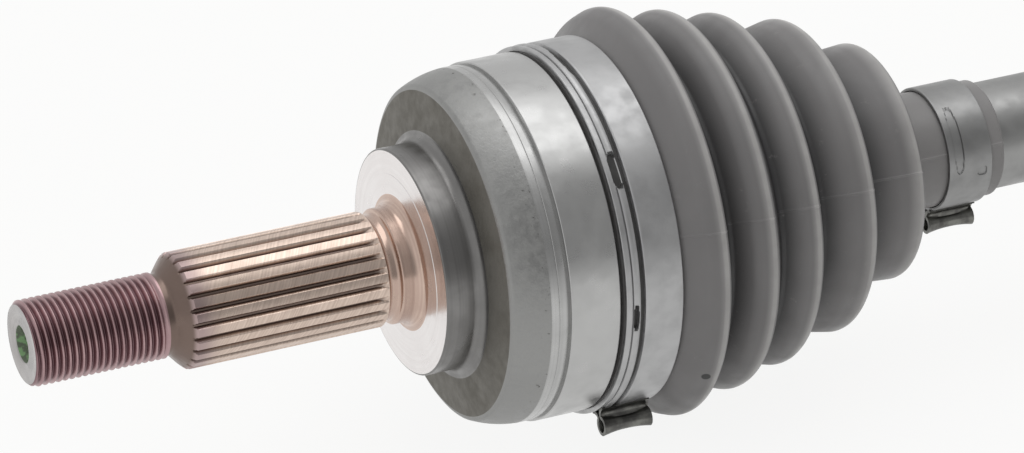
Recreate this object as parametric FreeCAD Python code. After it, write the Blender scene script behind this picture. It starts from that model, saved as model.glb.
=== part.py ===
import FreeCAD, Part
import math
import os

from FreeCAD import Vector

# Front-axle half shaft of a car: wheel stub with its bell, fixed ball joint, bar, plunging ball joint
# and gearbox stub, with both boots and their clamps.
# The shaft lies along X. x = 0 is the shoulder that the wheel hub seats on, and +X leads to the gearbox.
# Lengths are in millimetres. R in a name is a radius.

# Wheel stub, outward from the shoulder
PILOT_FILLET = 3.0
PILOT_LENGTH = 3.0
PILOT_R = 16.3
RELIEF_WIDTH = 4.0
RELIEF_R = 14.8
HUB_SPLINE_LENGTH = 56.4
HUB_SPLINE_TIP_R = 16.25
HUB_SPLINE_DEPTH = 1.3
HUB_SPLINE_TEETH = 24
HUB_SPLINE_TURN = 4.0
RUN_IN_LENGTH = 4.2
NECK_LENGTH = 2.0
NECK_R = 11.4
THREAD_LENGTH = 38.4
THREAD_R = 12.0
THREAD_LEAD = 2.0
THREAD_LEAD_DROP = 0.4
CENTRE_HOLE_R = 5.4
CENTRE_HOLE_DEPTH = 9.0

# Outer joint: where its centre lies, how far it bends, and its six balls
OUTER_CENTRE_X = 38.0
OUTER_BEND = 42.0
BALL_COUNT = 6
OUTER_BALL_R = 9.5
OUTER_PITCH_R = 33.5
OUTER_CAGE_STAND = 3.5
OUTER_CAGE_WALL = 4.8
OUTER_CAGE_WIDTH = 28.0
OUTER_RACE_WIDTH = 22.0

# Bell around the outer joint
BOSS_R = 32.0
BOSS_LENGTH = 11.0
BOSS_EDGE = 0.6
BOSS_FILLET = 3.0
BACK_RISE = 1.5
BACK_EDGE_R = 43.0
SHOULDER_LENGTH = 11.0
BELL_STAND = 17.4
BELL_BAND_STEP = 0.6
BELL_GROOVE_STEP = 1.5
BELL_GROOVE_WIDTH = 1.6
BELL_BAND_WIDTH = 5.1
BELL_RIM_WIDTH = 16.3
BELL_SEAT_STEP = 3.4
BELL_MOUTH_X = 58.0
BELL_FLOOR = 9.0
MOUTH_EDGE = 1.0

# Inner joint: centre, bend, plunge each way, and its balls
INNER_CENTRE_X = 397.0
INNER_BEND = 20.0
INNER_PLUNGE = 18.0
INNER_BALL_R = 9.0
INNER_PITCH_R = 31.5
INNER_CAGE_STAND = 3.9
INNER_CAGE_WALL = 5.3
INNER_CAGE_WIDTH = 28.0
INNER_RACE_WIDTH = 23.0

# Cup and gearbox stub
CUP_STAND = 16.0
CUP_SEAT_STEP = 1.5
CUP_SEAT_WIDTH = 18.0
CUP_BACK_WALL = 11.0
CUP_BACK_EDGE = 7.0
CUP_NECK_LENGTH = 10.0
JOURNAL_R = 20.0
JOURNAL_LENGTH = 28.0
JOURNAL_EDGE = 2.0
BOX_SPLINE_LENGTH = 33.0
BOX_SPLINE_TIP_R = 14.0
BOX_SPLINE_DEPTH = 1.1
BOX_SPLINE_TEETH = 28
BOX_CLIP_FROM_END = 5.0
BOX_CLIP_DEPTH = 2.6

# Bar
BAR_R = 15.5
BAR_NECK_R = 13.3
BAR_SPLINE_R = 14.5
BAR_SPLINE_DEPTH = 0.9
BAR_SPLINE_TEETH = 24
BAR_TIP_LENGTH = 2.3
BAR_SPLINE_RUNOUT = 2.0
OUTER_NECK_LENGTH = 40.0
INNER_NECK_LENGTH = 84.0
BAR_TAPER = 18.0

# Circlips and stop rings
CLIP_WIDTH = 2.2
CLIP_SEAT_DEPTH = 1.1
CLIP_STAND = 1.9
CLIP_GAP = 50.0
SNAP_RING_WIDTH = 2.0
SNAP_RING_DEPTH = 1.6
SNAP_RING_STAND = 1.2
SNAP_RING_GAP = 30.0

# Boots. A lobe is the corner (x, r) of its crest before it is rounded. Each valley has a radius of its own.
# The side of a lobe towards the joint is broad and has a shoulder half way up. The other side falls steeply.
BOOT_WALL = 2.4
LOBE_FALL = 5.0
LOBE_SHOULDER_DROP = 0.25
LOBE_SHOULDER_ROUND = 6.0
LOBE_CREST_ROUND = 2.2
LOBE_VALLEY_ROUND = 1.5
LOBE_LEAST_ROUND = 0.4
OUTER_LOBES = ((73.0, 58.9), (89.6, 54.9), (105.2, 51.0), (124.8, 45.5), (145.7, 34.3))
OUTER_VALLEYS = (46.3, 45.5, 39.5, 31.8)
OUTER_COLLAR_END = 62.0
OUTER_SMALL_COLLAR = (153.0, 180.6)
INNER_LOBES = ((345.5, 52.4), (331.0, 48.4), (316.5, 43.4), (302.0, 37.9), (287.5, 31.4))
INNER_VALLEYS = (41.0, 36.0, 30.5, 24.0)
INNER_COLLAR_END = 357.5
INNER_SMALL_COLLAR = (256.0, 280.5)
LARGE_COLLAR_WALL = 3.4
SMALL_COLLAR_WALL = 1.0
SMALL_COLLAR_LIP = 4.6

# Clamps. The large ones have windows in their groove, each given by its span and its angle from the ear.
# A small one has a slot and a hole, each given by its distance from the band's edge, width, span and angle.
LARGE_CLAMP_WALL = 1.3
LARGE_CLAMP_WIDTH = 15.3
CUP_CLAMP_WIDTH = 12.0
CLAMP_GROOVE_WIDTH = 3.4
CLAMP_GROOVE_DEPTH = 0.6
CLAMP_GROOVE_WINDOWS = ((12.0, -180.0), (18.0, -96.5), (10.0, -40.5))
SMALL_CLAMP_WALL = 0.8
SMALL_CLAMP_WIDTH = 13.8
SMALL_CLAMP_WINDOWS = ((1.8, 3.4, 66.0, -109.0), (9.2, 3.0, 10.0, -75.0))
EAR_LENGTH = 14.5
EAR_NECK = 1.9
EAR_NECK_HEIGHT = 4.4
EAR_BEAD_R = 1.9
EAR_BORE_R = 0.9
OUTER_LARGE_EAR_ANGLE = 53.5
OUTER_SMALL_EAR_ANGLE = 77.0
INNER_LARGE_EAR_ANGLE = 60.0
INNER_SMALL_EAR_ANGLE = 80.0

# Clearances
CAGE_PLAY = 0.1
WINDOW_PLAY = 0.025
WINDOW_SLACK = 1.3
TRACK_PLAY = 0.3
SEAT_PLAY = 0.3
BEND_PLAY = 0.6
END_PLAY = 1.5

# Places that follow from the sizes above
PILOT_X = -(PILOT_FILLET + PILOT_LENGTH)
RELIEF_X = PILOT_X - RELIEF_WIDTH
RUN_IN_X = RELIEF_X - HUB_SPLINE_LENGTH
NECK_X = RUN_IN_X - RUN_IN_LENGTH
THREAD_X = NECK_X - NECK_LENGTH
STUB_TIP_X = THREAD_X - THREAD_LENGTH
OUTER_SPHERE_R = OUTER_PITCH_R + OUTER_CAGE_STAND
BELL_R = OUTER_PITCH_R + BELL_STAND
BELL_SEAT_R = BELL_R - BELL_SEAT_STEP
BELL_BAND_X = BOSS_LENGTH + BACK_RISE + SHOULDER_LENGTH
BELL_RIM_X = BELL_BAND_X + BELL_BAND_WIDTH
BELL_SEAT_X = BELL_RIM_X + BELL_RIM_WIDTH
OUTER_CAGE_R = OUTER_SPHERE_R - CAGE_PLAY
OUTER_RACE_R = OUTER_CAGE_R - OUTER_CAGE_WALL - CAGE_PLAY
INNER_CAGE_R = INNER_PITCH_R + INNER_CAGE_STAND
CUP_R = INNER_PITCH_R + CUP_STAND
CUP_BORE_R = INNER_CAGE_R + CAGE_PLAY
INNER_RACE_R = INNER_CAGE_R - INNER_CAGE_WALL - CAGE_PLAY
CUP_SEAT_R = CUP_R - CUP_SEAT_STEP
CLIP_SEAT_R = BAR_SPLINE_R - CLIP_SEAT_DEPTH
CLIP_R = BAR_SPLINE_R + CLIP_STAND

AXIS = Vector(1, 0, 0)
ORIGIN = Vector(0, 0, 0)


def turned(steps):
    """Solid turned about X. A step is (x, r), a straight line, or (x, r, x, r), an arc through the first."""
    edges = []
    here = Vector(steps[0][0], 0, steps[0][1])
    first = here
    for step in steps[1:]:
        there = Vector(step[-2], 0, step[-1])
        if len(step) == 4:
            middle = Vector(step[0], 0, step[1])
            edges.append(Part.Arc(here, middle, there).toShape())
        else:
            edges.append(Part.makeLine(here, there))
        here = there
    edges.append(Part.makeLine(here, first))
    return Part.Face(Part.Wire(edges)).revolve(ORIGIN, AXIS, 360)


def around(shape, count):
    """Copies of a shape, spaced evenly about X."""
    copies = []
    for index in range(count):
        copy = shape.copy()
        copy.rotate(ORIGIN, AXIS, index * 360.0 / count)
        copies.append(copy)
    return copies


def on_circle(radius, angle):
    """Offsets from the centre of a point on a circle, by its angle in degrees."""
    return radius * math.cos(math.radians(angle)), radius * math.sin(math.radians(angle))


def ball_band(centre, radius, half_width):
    """End, middle and end points of a sphere's outline between two flat sides."""
    edge = math.sqrt(radius ** 2 - half_width ** 2)
    return (centre - half_width, edge), (centre, radius, centre + half_width, edge)


def spline_cutters(tip_r, depth, teeth, x_from, x_to):
    """Wedges that leave straight-sided teeth on a shaft of radius tip_r."""
    root_r = tip_r - depth
    pitch = 2 * math.pi * tip_r / teeth
    root_half = 0.06 * pitch
    tip_half = 0.2 * pitch
    slope = (tip_half - root_half) / depth
    over = depth
    top_half = tip_half + slope * over
    outline = [
        Vector(x_from, -root_half, root_r),
        Vector(x_from, root_half, root_r),
        Vector(x_from, top_half, tip_r + over),
        Vector(x_from, -top_half, tip_r + over),
    ]
    face = Part.Face(Part.makePolygon(outline + outline[:1]))
    return around(face.extrude(Vector(x_to - x_from, 0, 0)), teeth)


def bar_spline(x_from, x_to):
    """Splined plug: what the bar is inside a race, and so what the race's bore is cut to."""
    plug = Part.makeCylinder(BAR_SPLINE_R, x_to - x_from, Vector(x_from, 0, 0), AXIS)
    cutters = spline_cutters(BAR_SPLINE_R, BAR_SPLINE_DEPTH, BAR_SPLINE_TEETH, x_from - 1, x_to + 1)
    return plug.cut(cutters)


def curved_track(centre, pitch_r, ball_r, slack, angle_from, angle_to):
    """Cutter for a ball track that bends about the joint's centre, above the X axis."""
    middle = Vector(centre, 0, pitch_r)
    side = middle + Vector(0, ball_r + slack, 0)
    top = middle + Vector(0, 0, ball_r + TRACK_PLAY)
    pivot = Vector(centre, 0, 0)
    hinge = Vector(0, 1, 0)
    face = Part.Face(Part.Wire([Part.Ellipse(side, top, middle).toShape()]))
    face.rotate(pivot, hinge, angle_from)
    return face.revolve(pivot, hinge, angle_to - angle_from)


def sideways(pitch_r, tilt):
    """How far a ball off the tilt's plane strays sideways from its track's middle, at a tilt in degrees."""
    off_plane = math.radians(360 / BALL_COUNT)
    strayed = math.atan(math.tan(off_plane) / math.cos(math.radians(tilt)))
    return pitch_r * (strayed - off_plane)


def cage(centre, radius, wall, width, ball_r, pitch_r):
    """Ball cage: a band of a ball shell with one rounded window for each ball."""
    outer_start, outer_arc = ball_band(centre, radius, width / 2)
    inner_start, inner_arc = ball_band(centre, radius - wall, width / 2)
    band = turned([
        outer_start,
        outer_arc,
        inner_arc[2:],
        (inner_arc[0], inner_arc[1], inner_start[0], inner_start[1]),
    ])
    along = 2 * (ball_r + WINDOW_PLAY)
    across = 2 * (ball_r + WINDOW_SLACK)
    corner = Vector(centre - along / 2, -across / 2, pitch_r - 2 * wall)
    window = Part.makeBox(along, across, 4 * wall, corner)
    upright = [edge for edge in window.Edges if abs(edge.tangentAt(edge.FirstParameter).z) > 0.9]
    window = window.makeFillet(0.35 * ball_r, upright)
    return band.cut(around(window, BALL_COUNT))


def balls(name, centre, ball_r, pitch_r):
    """The balls, in the middle of their windows, each by its node's name."""
    ball = Part.makeSphere(ball_r, Vector(centre, 0, pitch_r))
    return {name + "_" + str(index + 1): copy for index, copy in enumerate(around(ball, BALL_COUNT))}


def race(centre, radius, width, pitch_r, ball_r, slack):
    """Inner race: a ball band with chamfered edges, curved tracks and a splined bore."""
    edge = 0.12 * width
    start, arc = ball_band(centre, radius, width / 2 - edge)
    blank = turned([
        (centre - width / 2, 0),
        (centre - width / 2, start[1] - edge),
        start,
        arc,
        (centre + width / 2, start[1] - edge),
        (centre + width / 2, 0),
    ])
    tracks = around(curved_track(centre, pitch_r, ball_r, slack, -60, 60), BALL_COUNT)
    bore = bar_spline(centre - width, centre + width)
    return blank.cut(tracks).cut(bore)


def ring(inner_r, outer_r, x_from, width, gap, gap_angle=0.0):
    """Open ring of square section with a gap, given as an angle."""
    blank = turned([
        (x_from, inner_r),
        (x_from, outer_r),
        (x_from + width, outer_r),
        (x_from + width, inner_r),
    ])
    reach = 2 * outer_r
    gap_y = reach * math.tan(math.radians(gap / 2))
    corners = [
        Vector(x_from - width, 0, 0),
        Vector(x_from - width, gap_y, reach),
        Vector(x_from - width, -gap_y, reach),
    ]
    wedge = Part.Face(Part.makePolygon(corners + corners[:1])).extrude(Vector(3 * width, 0, 0))
    wedge.rotate(ORIGIN, AXIS, gap_angle)
    return blank.cut(wedge)


def wheel_stub_housing():
    """Wheel stub and bell in one forging."""
    back_x = BOSS_LENGTH + BACK_RISE
    band_r = BELL_R - BELL_BAND_STEP
    groove_r = BELL_R - BELL_GROOVE_STEP
    fillet_x, fillet_r = on_circle(PILOT_FILLET, 45)
    boss_x, boss_r = on_circle(BOSS_FILLET, 45)
    boss_from = BOSS_LENGTH - BOSS_FILLET
    boss_top = BOSS_R + BOSS_FILLET
    body = turned([
        (STUB_TIP_X, 0),
        (STUB_TIP_X, THREAD_R - THREAD_LEAD_DROP),
        (STUB_TIP_X + THREAD_LEAD, THREAD_R),
        (THREAD_X, THREAD_R),
        (THREAD_X, NECK_R),
        (NECK_X, NECK_R),
        (RUN_IN_X, HUB_SPLINE_TIP_R),
        (RELIEF_X, HUB_SPLINE_TIP_R),
        (RELIEF_X + RELIEF_WIDTH / 4, RELIEF_R),
        (PILOT_X - RELIEF_WIDTH / 4, RELIEF_R),
        (PILOT_X, PILOT_R),
        (-PILOT_FILLET, PILOT_R),
        (-PILOT_FILLET + fillet_x, PILOT_R + PILOT_FILLET - fillet_r, 0, PILOT_R + PILOT_FILLET),
        (0, BOSS_R - BOSS_EDGE),
        (BOSS_EDGE, BOSS_R),
        (boss_from, BOSS_R),
        (boss_from + boss_x, boss_top - boss_r, BOSS_LENGTH, boss_top),
        (back_x, BACK_EDGE_R),
        (back_x + 0.36 * SHOULDER_LENGTH, BACK_EDGE_R + 0.68 * (band_r - BACK_EDGE_R), BELL_BAND_X, band_r),
        (BELL_RIM_X - BELL_GROOVE_WIDTH, band_r),
        (BELL_RIM_X - BELL_GROOVE_WIDTH / 4, groove_r),
        (BELL_RIM_X, groove_r),
        (BELL_RIM_X, BELL_R),
        (BELL_SEAT_X, BELL_R),
        (BELL_SEAT_X, BELL_SEAT_R),
        (BELL_MOUTH_X - MOUTH_EDGE, BELL_SEAT_R),
        (BELL_MOUTH_X, BELL_SEAT_R - MOUTH_EDGE),
        (BELL_MOUTH_X, 0),
    ])
    body = body.cut([bell_cavity(), centre_hole()])
    body = body.cut(outer_tracks())
    grooves = spline_cutters(
        HUB_SPLINE_TIP_R, HUB_SPLINE_DEPTH, HUB_SPLINE_TEETH, NECK_X, RELIEF_X + RELIEF_WIDTH / 2)
    for groove in grooves:
        groove.rotate(ORIGIN, AXIS, HUB_SPLINE_TURN)
    return body.cut(grooves)


def centre_hole():
    """Centre drilling in the stub's free end."""
    pilot_r = 0.4 * CENTRE_HOLE_R
    cone_depth = (CENTRE_HOLE_R - pilot_r) / math.tan(math.radians(30))
    return turned([
        (STUB_TIP_X, 0),
        (STUB_TIP_X, CENTRE_HOLE_R),
        (STUB_TIP_X + cone_depth, pilot_r),
        (STUB_TIP_X + CENTRE_HOLE_DEPTH, pilot_r),
        (STUB_TIP_X + CENTRE_HOLE_DEPTH, 0),
    ])


def bell_cavity():
    """Ball socket of the bell, with a flared mouth that the bar clears at full bend."""
    depth = OUTER_CENTRE_X - BELL_FLOOR
    floor_r = math.sqrt(OUTER_SPHERE_R ** 2 - depth ** 2)
    reach = BELL_MOUTH_X - OUTER_CENTRE_X
    mouth_r = math.sqrt(OUTER_SPHERE_R ** 2 - reach ** 2)
    socket = turned([
        (BELL_FLOOR, 0),
        (BELL_FLOOR, floor_r),
        (OUTER_CENTRE_X, OUTER_SPHERE_R, BELL_MOUTH_X, mouth_r),
        (BELL_MOUTH_X, 0),
    ])
    bend = math.radians(OUTER_BEND)
    apex_r = BAR_NECK_R / math.cos(bend) + BEND_PLAY
    flare = turned([
        (OUTER_CENTRE_X, 0),
        (OUTER_CENTRE_X, apex_r),
        (BELL_MOUTH_X + 1, apex_r + (reach + 1) * math.tan(bend)),
        (BELL_MOUTH_X + 1, 0),
    ])
    return socket.fuse(flare)


def outer_tracks():
    """Six curved tracks, rounded at the closed end and open at the bell's mouth."""
    half_bend = OUTER_BEND / 2
    slack = TRACK_PLAY + sideways(OUTER_PITCH_R, half_bend)
    closed_end = -(half_bend + 9.5)
    track = curved_track(OUTER_CENTRE_X, OUTER_PITCH_R, OUTER_BALL_R, slack, closed_end, 75)
    rest_x, rest_r = on_circle(OUTER_PITCH_R, 90 + half_bend + END_PLAY)
    end = Part.makeSphere(OUTER_BALL_R + 2.4 * TRACK_PLAY, Vector(OUTER_CENTRE_X + rest_x, 0, rest_r))
    return around(track, BALL_COUNT) + around(end, BALL_COUNT)


def outer_joint_race():
    slack = TRACK_PLAY + sideways(OUTER_PITCH_R, OUTER_BEND / 2)
    return race(OUTER_CENTRE_X, OUTER_RACE_R, OUTER_RACE_WIDTH, OUTER_PITCH_R, OUTER_BALL_R, slack)


def inner_joint_race():
    slack = TRACK_PLAY + sideways(INNER_PITCH_R, INNER_BEND)
    return race(INNER_CENTRE_X, INNER_RACE_R, INNER_RACE_WIDTH, INNER_PITCH_R, INNER_BALL_R, slack)


def outer_joint_cage():
    return cage(OUTER_CENTRE_X, OUTER_CAGE_R, OUTER_CAGE_WALL, OUTER_CAGE_WIDTH, OUTER_BALL_R, OUTER_PITCH_R)


def inner_joint_cage():
    return cage(INNER_CENTRE_X, INNER_CAGE_R, INNER_CAGE_WALL, INNER_CAGE_WIDTH, INNER_BALL_R, INNER_PITCH_R)


def bar_end(centre, side, race_width, neck_length):
    """Outline of one bar end from its tip inwards. side is -1 at the wheel end and 1 at the gearbox end."""
    half = race_width / 2
    tip = centre + side * (half + CLIP_WIDTH + BAR_TIP_LENGTH)
    clip_outer = centre + side * (half + CLIP_WIDTH)
    clip_inner = centre + side * half
    stop_outer = centre - side * half
    stop_inner = centre - side * (half + CLIP_WIDTH)
    spline_end = stop_inner - side * BAR_SPLINE_RUNOUT
    neck = centre - side * neck_length
    edge = BAR_SPLINE_DEPTH
    return [
        (tip, 0),
        (tip, BAR_SPLINE_R - edge),
        (tip - side * edge, BAR_SPLINE_R),
        (clip_outer, BAR_SPLINE_R),
        (clip_outer, CLIP_SEAT_R),
        (clip_inner, CLIP_SEAT_R),
        (clip_inner, BAR_SPLINE_R),
        (stop_outer, BAR_SPLINE_R),
        (stop_outer, CLIP_SEAT_R),
        (stop_inner, CLIP_SEAT_R),
        (stop_inner, BAR_SPLINE_R),
        (spline_end, BAR_SPLINE_R),
        (spline_end - side * BAR_SPLINE_RUNOUT, BAR_NECK_R),
        (neck, BAR_NECK_R),
        (neck - side * BAR_TAPER, BAR_R),
    ]


def axle_bar():
    """Bar with a splined seat for a race at each end and a slimmer neck beside it."""
    wheel_end = bar_end(OUTER_CENTRE_X, -1, OUTER_RACE_WIDTH, OUTER_NECK_LENGTH)
    box_end = bar_end(INNER_CENTRE_X, 1, INNER_RACE_WIDTH, INNER_NECK_LENGTH)
    bar = turned(wheel_end + box_end[::-1])
    reach = CLIP_WIDTH + BAR_TIP_LENGTH + 1
    for centre, side, width in (
            (OUTER_CENTRE_X, -1, OUTER_RACE_WIDTH), (INNER_CENTRE_X, 1, INNER_RACE_WIDTH)):
        tip = centre + side * (width / 2 + reach)
        end = centre - side * (width / 2 + CLIP_WIDTH + BAR_SPLINE_RUNOUT)
        bar = bar.cut(spline_cutters(
            BAR_SPLINE_R, BAR_SPLINE_DEPTH, BAR_SPLINE_TEETH, min(tip, end), max(tip, end)))
    return bar


def race_clips(centre, side, race_width):
    """Circlip at the bar's tip and stop ring on the race's other side."""
    low = centre - race_width / 2 - CLIP_WIDTH
    high = centre + race_width / 2
    circlip_x, stop_x = (low, high) if side < 0 else (high, low)
    circlip = ring(CLIP_SEAT_R, CLIP_R, circlip_x, CLIP_WIDTH, CLIP_GAP)
    stop = ring(CLIP_SEAT_R, CLIP_R, stop_x, CLIP_WIDTH, CLIP_GAP, 180)
    return circlip, stop


def cup_places():
    """Mouth, floor and back of the cup, from the plunge and the widths of what it holds."""
    half = INNER_CAGE_WIDTH / 2
    mouth = INNER_CENTRE_X - half - INNER_PLUNGE - SNAP_RING_WIDTH - 2 * END_PLAY
    bend = math.radians(INNER_BEND)
    tip = INNER_RACE_WIDTH / 2 + CLIP_WIDTH + BAR_TIP_LENGTH
    bar_reach = tip * math.cos(bend) + BAR_SPLINE_R * math.sin(bend)
    floor = INNER_CENTRE_X + bar_reach + INNER_PLUNGE + END_PLAY
    return mouth, floor, floor + CUP_BACK_WALL


def snap_ring_x():
    """Where the snap ring's outer side lies."""
    return cup_places()[0] + END_PLAY


def inner_joint_cup():
    """Cup with six straight tracks, its seal journal and splined gearbox stub, in one forging."""
    mouth, floor, back = cup_places()
    journal = back + CUP_NECK_LENGTH
    spline = journal + JOURNAL_LENGTH
    end = spline + BOX_SPLINE_LENGTH
    clip = end - BOX_CLIP_FROM_END
    seat_end = mouth + CUP_SEAT_WIDTH
    body = turned([
        (mouth, 0),
        (mouth, CUP_SEAT_R - MOUTH_EDGE),
        (mouth + MOUTH_EDGE, CUP_SEAT_R),
        (seat_end, CUP_SEAT_R),
        (seat_end, CUP_R),
        (back - CUP_BACK_EDGE, CUP_R),
        (back - 0.3 * CUP_BACK_EDGE, CUP_R - 0.3 * CUP_BACK_EDGE, back, CUP_R - CUP_BACK_EDGE),
        (journal - 0.6 * CUP_NECK_LENGTH, JOURNAL_R + 0.6 * CUP_NECK_LENGTH),
        (journal - 0.3 * CUP_NECK_LENGTH, JOURNAL_R + 0.2 * CUP_NECK_LENGTH, journal, JOURNAL_R),
        (spline - JOURNAL_EDGE, JOURNAL_R),
        (spline, JOURNAL_R - JOURNAL_EDGE),
        (spline, BOX_SPLINE_TIP_R - BOX_SPLINE_DEPTH),
        (spline + BOX_SPLINE_DEPTH, BOX_SPLINE_TIP_R - BOX_SPLINE_DEPTH),
        (spline + 2 * BOX_SPLINE_DEPTH, BOX_SPLINE_TIP_R),
        (clip - CLIP_WIDTH / 2, BOX_SPLINE_TIP_R),
        (clip - CLIP_WIDTH / 2, BOX_SPLINE_TIP_R - BOX_CLIP_DEPTH),
        (clip + CLIP_WIDTH / 2, BOX_SPLINE_TIP_R - BOX_CLIP_DEPTH),
        (clip + CLIP_WIDTH / 2, BOX_SPLINE_TIP_R),
        (end - 2 * BOX_SPLINE_DEPTH, BOX_SPLINE_TIP_R),
        (end, BOX_SPLINE_TIP_R - 2 * BOX_SPLINE_DEPTH),
        (end, 0),
    ])
    bore = Part.makeCylinder(CUP_BORE_R, floor - mouth, Vector(mouth, 0, 0), AXIS)
    track_r = INNER_BALL_R + TRACK_PLAY
    track = Part.makeCylinder(track_r, floor - mouth, Vector(mouth, 0, INNER_PITCH_R), AXIS)
    groove_r = CUP_BORE_R + SNAP_RING_DEPTH
    groove = Part.makeCylinder(groove_r, SNAP_RING_WIDTH, Vector(snap_ring_x(), 0, 0), AXIS)
    teeth = spline_cutters(
        BOX_SPLINE_TIP_R, BOX_SPLINE_DEPTH, BOX_SPLINE_TEETH, spline + BOX_SPLINE_DEPTH / 2, end + 1)
    return body.cut([bore, groove]).cut(around(track, BALL_COUNT)).cut(teeth)


def inner_cup_snap_ring():
    """Ring in the cup's mouth that keeps the cage in."""
    inner_r = CUP_BORE_R - SNAP_RING_STAND
    outer_r = CUP_BORE_R + SNAP_RING_DEPTH
    return ring(inner_r, outer_r, snap_ring_x(), SNAP_RING_WIDTH, SNAP_RING_GAP, 30)


def gearbox_stub_circlip():
    """Ring near the stub's end that snaps into the side gear."""
    end = cup_places()[2] + CUP_NECK_LENGTH + JOURNAL_LENGTH + BOX_SPLINE_LENGTH
    x_from = end - BOX_CLIP_FROM_END - CLIP_WIDTH / 2
    inner_r = BOX_SPLINE_TIP_R - BOX_CLIP_DEPTH
    return ring(inner_r, BOX_SPLINE_TIP_R + CLIP_STAND / 2, x_from, CLIP_WIDTH, CLIP_GAP, 90)


def flat(corner):
    return Vector(corner[0], 0, corner[1])


def rounded(corners):
    """Steps along straight runs. Each inner corner (x, r, radius) is rounded by a tangent arc."""
    steps = [corners[0][:2]]
    for before, corner, after in zip(corners, corners[1:], corners[2:]):
        point = flat(corner)
        back = (flat(before) - point).normalize()
        ahead = (flat(after) - point).normalize()
        half = back.getAngle(ahead) / 2
        inward = (back + ahead).normalize()
        leave = point + back * (corner[2] / math.tan(half))
        middle = point + inward * (corner[2] / math.sin(half) - corner[2])
        join = point + ahead * (corner[2] / math.tan(half))
        steps.append((leave.x, leave.z))
        steps.append((middle.x, middle.z, join.x, join.z))
    steps.append(corners[-1][:2])
    return steps


def sunk(corners, depth, side):
    """Inner corners of the surface at an even depth inside a wall. Its rounds stay concentric."""
    moved = []
    for before, corner, after in zip(corners, corners[1:], corners[2:]):
        come = (flat(corner) - flat(before)).normalize()
        go = (flat(after) - flat(corner)).normalize()
        first = Vector(come.z, 0, -come.x) * side
        second = Vector(go.z, 0, -go.x) * side
        place = flat(corner) + (first + second) * (depth / (1 + first.dot(second)))
        crest = come.cross(go).y * side > 0
        radius = corner[2] - depth if crest else corner[2] + depth
        moved.append((place.x, place.z, max(radius, LOBE_LEAST_ROUND)))
    return moved


def lobe_corners(collar, lobes, valleys, foot, side):
    """Corners of the lobes' outline from the large collar's end to the small collar."""
    feet = [(x + side * LOBE_FALL, r) for (x, _), r in zip(lobes, valleys)]
    corners = [collar]
    for (crest_x, crest_r), (foot_x, foot_r) in zip(lobes, feet + [foot]):
        from_x, from_r = corners[-1][:2]
        shoulder_r = crest_r - (crest_r - from_r) * LOBE_SHOULDER_DROP
        corners.append(((from_x + crest_x) / 2, shoulder_r, LOBE_SHOULDER_ROUND))
        corners.append((crest_x, crest_r, LOBE_CREST_ROUND))
        corners.append((foot_x, foot_r, LOBE_VALLEY_ROUND))
    return corners


def boot(seat_x, seat_r, collar_end, lobes, valleys, small_collar):
    """Bellows from a large collar over the lobes to a small collar on the bar."""
    side = 1 if small_collar[0] > collar_end else -1
    collar_r = seat_r + LARGE_COLLAR_WALL
    inner_small = BAR_R + SEAT_PLAY
    outer_small = inner_small + SMALL_COLLAR_WALL
    start, end = sorted(small_collar, key=lambda x: side * x)
    corners = lobe_corners((collar_end, collar_r), lobes, valleys, (start, outer_small), side)
    corners.append((end, outer_small))
    inside = sunk(corners, BOOT_WALL, side)
    crest_x, crest_r, _ = inside[-2]
    foot_x, foot_r, _ = inside[-1]
    share = (crest_r - inner_small) / (crest_r - foot_r)
    inside[-1] = (crest_x + (foot_x - crest_x) * share, inner_small, LOBE_VALLEY_ROUND)
    inside = [(collar_end, seat_r)] + inside + [(end, inner_small)]
    return turned([(seat_x, seat_r), (seat_x, collar_r)] + rounded(corners) + rounded(inside[::-1]))


def outer_boot():
    seat_x = BELL_SEAT_X + 2 * SEAT_PLAY
    return boot(seat_x, BELL_SEAT_R, OUTER_COLLAR_END, OUTER_LOBES, OUTER_VALLEYS, OUTER_SMALL_COLLAR)


def inner_boot():
    seat_x = cup_places()[0] + CUP_SEAT_WIDTH - 2 * SEAT_PLAY
    return boot(seat_x, CUP_SEAT_R, INNER_COLLAR_END, INNER_LOBES, INNER_VALLEYS, INNER_SMALL_COLLAR)


def clamp_window(outer_r, x_from, width, span, angle):
    """Cutter for a window in a clamp's band. The angle of its middle runs from -Y towards -Z."""
    corners = [
        Vector(x_from, 0, outer_r / 2),
        Vector(x_from, 0, 2 * outer_r),
        Vector(x_from + width, 0, 2 * outer_r),
        Vector(x_from + width, 0, outer_r / 2),
    ]
    window = Part.Face(Part.makePolygon(corners + corners[:1])).revolve(ORIGIN, AXIS, span)
    window.rotate(ORIGIN, AXIS, 90 + angle - span / 2)
    return window


def clamp_ear(outer_r, middle_x, angle):
    """Crimped ear of a clamp: a neck with a rolled tube on it."""
    ear_x = middle_x - EAR_LENGTH / 2
    bead_r = outer_r + EAR_NECK_HEIGHT
    foot_r = outer_r - SMALL_CLAMP_WALL / 2
    neck = Part.makeBox(EAR_LENGTH, EAR_NECK, bead_r - foot_r, Vector(ear_x, -EAR_NECK / 2, foot_r))
    bead = Part.makeCylinder(EAR_BEAD_R, EAR_LENGTH, Vector(ear_x, 0, bead_r), AXIS)
    bore = Part.makeCylinder(EAR_BORE_R, EAR_LENGTH, Vector(ear_x, 0, bead_r), AXIS)
    ear = neck.fuse(bead).cut(bore)
    ear.rotate(ORIGIN, AXIS, 90 + angle)
    return ear


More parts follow.
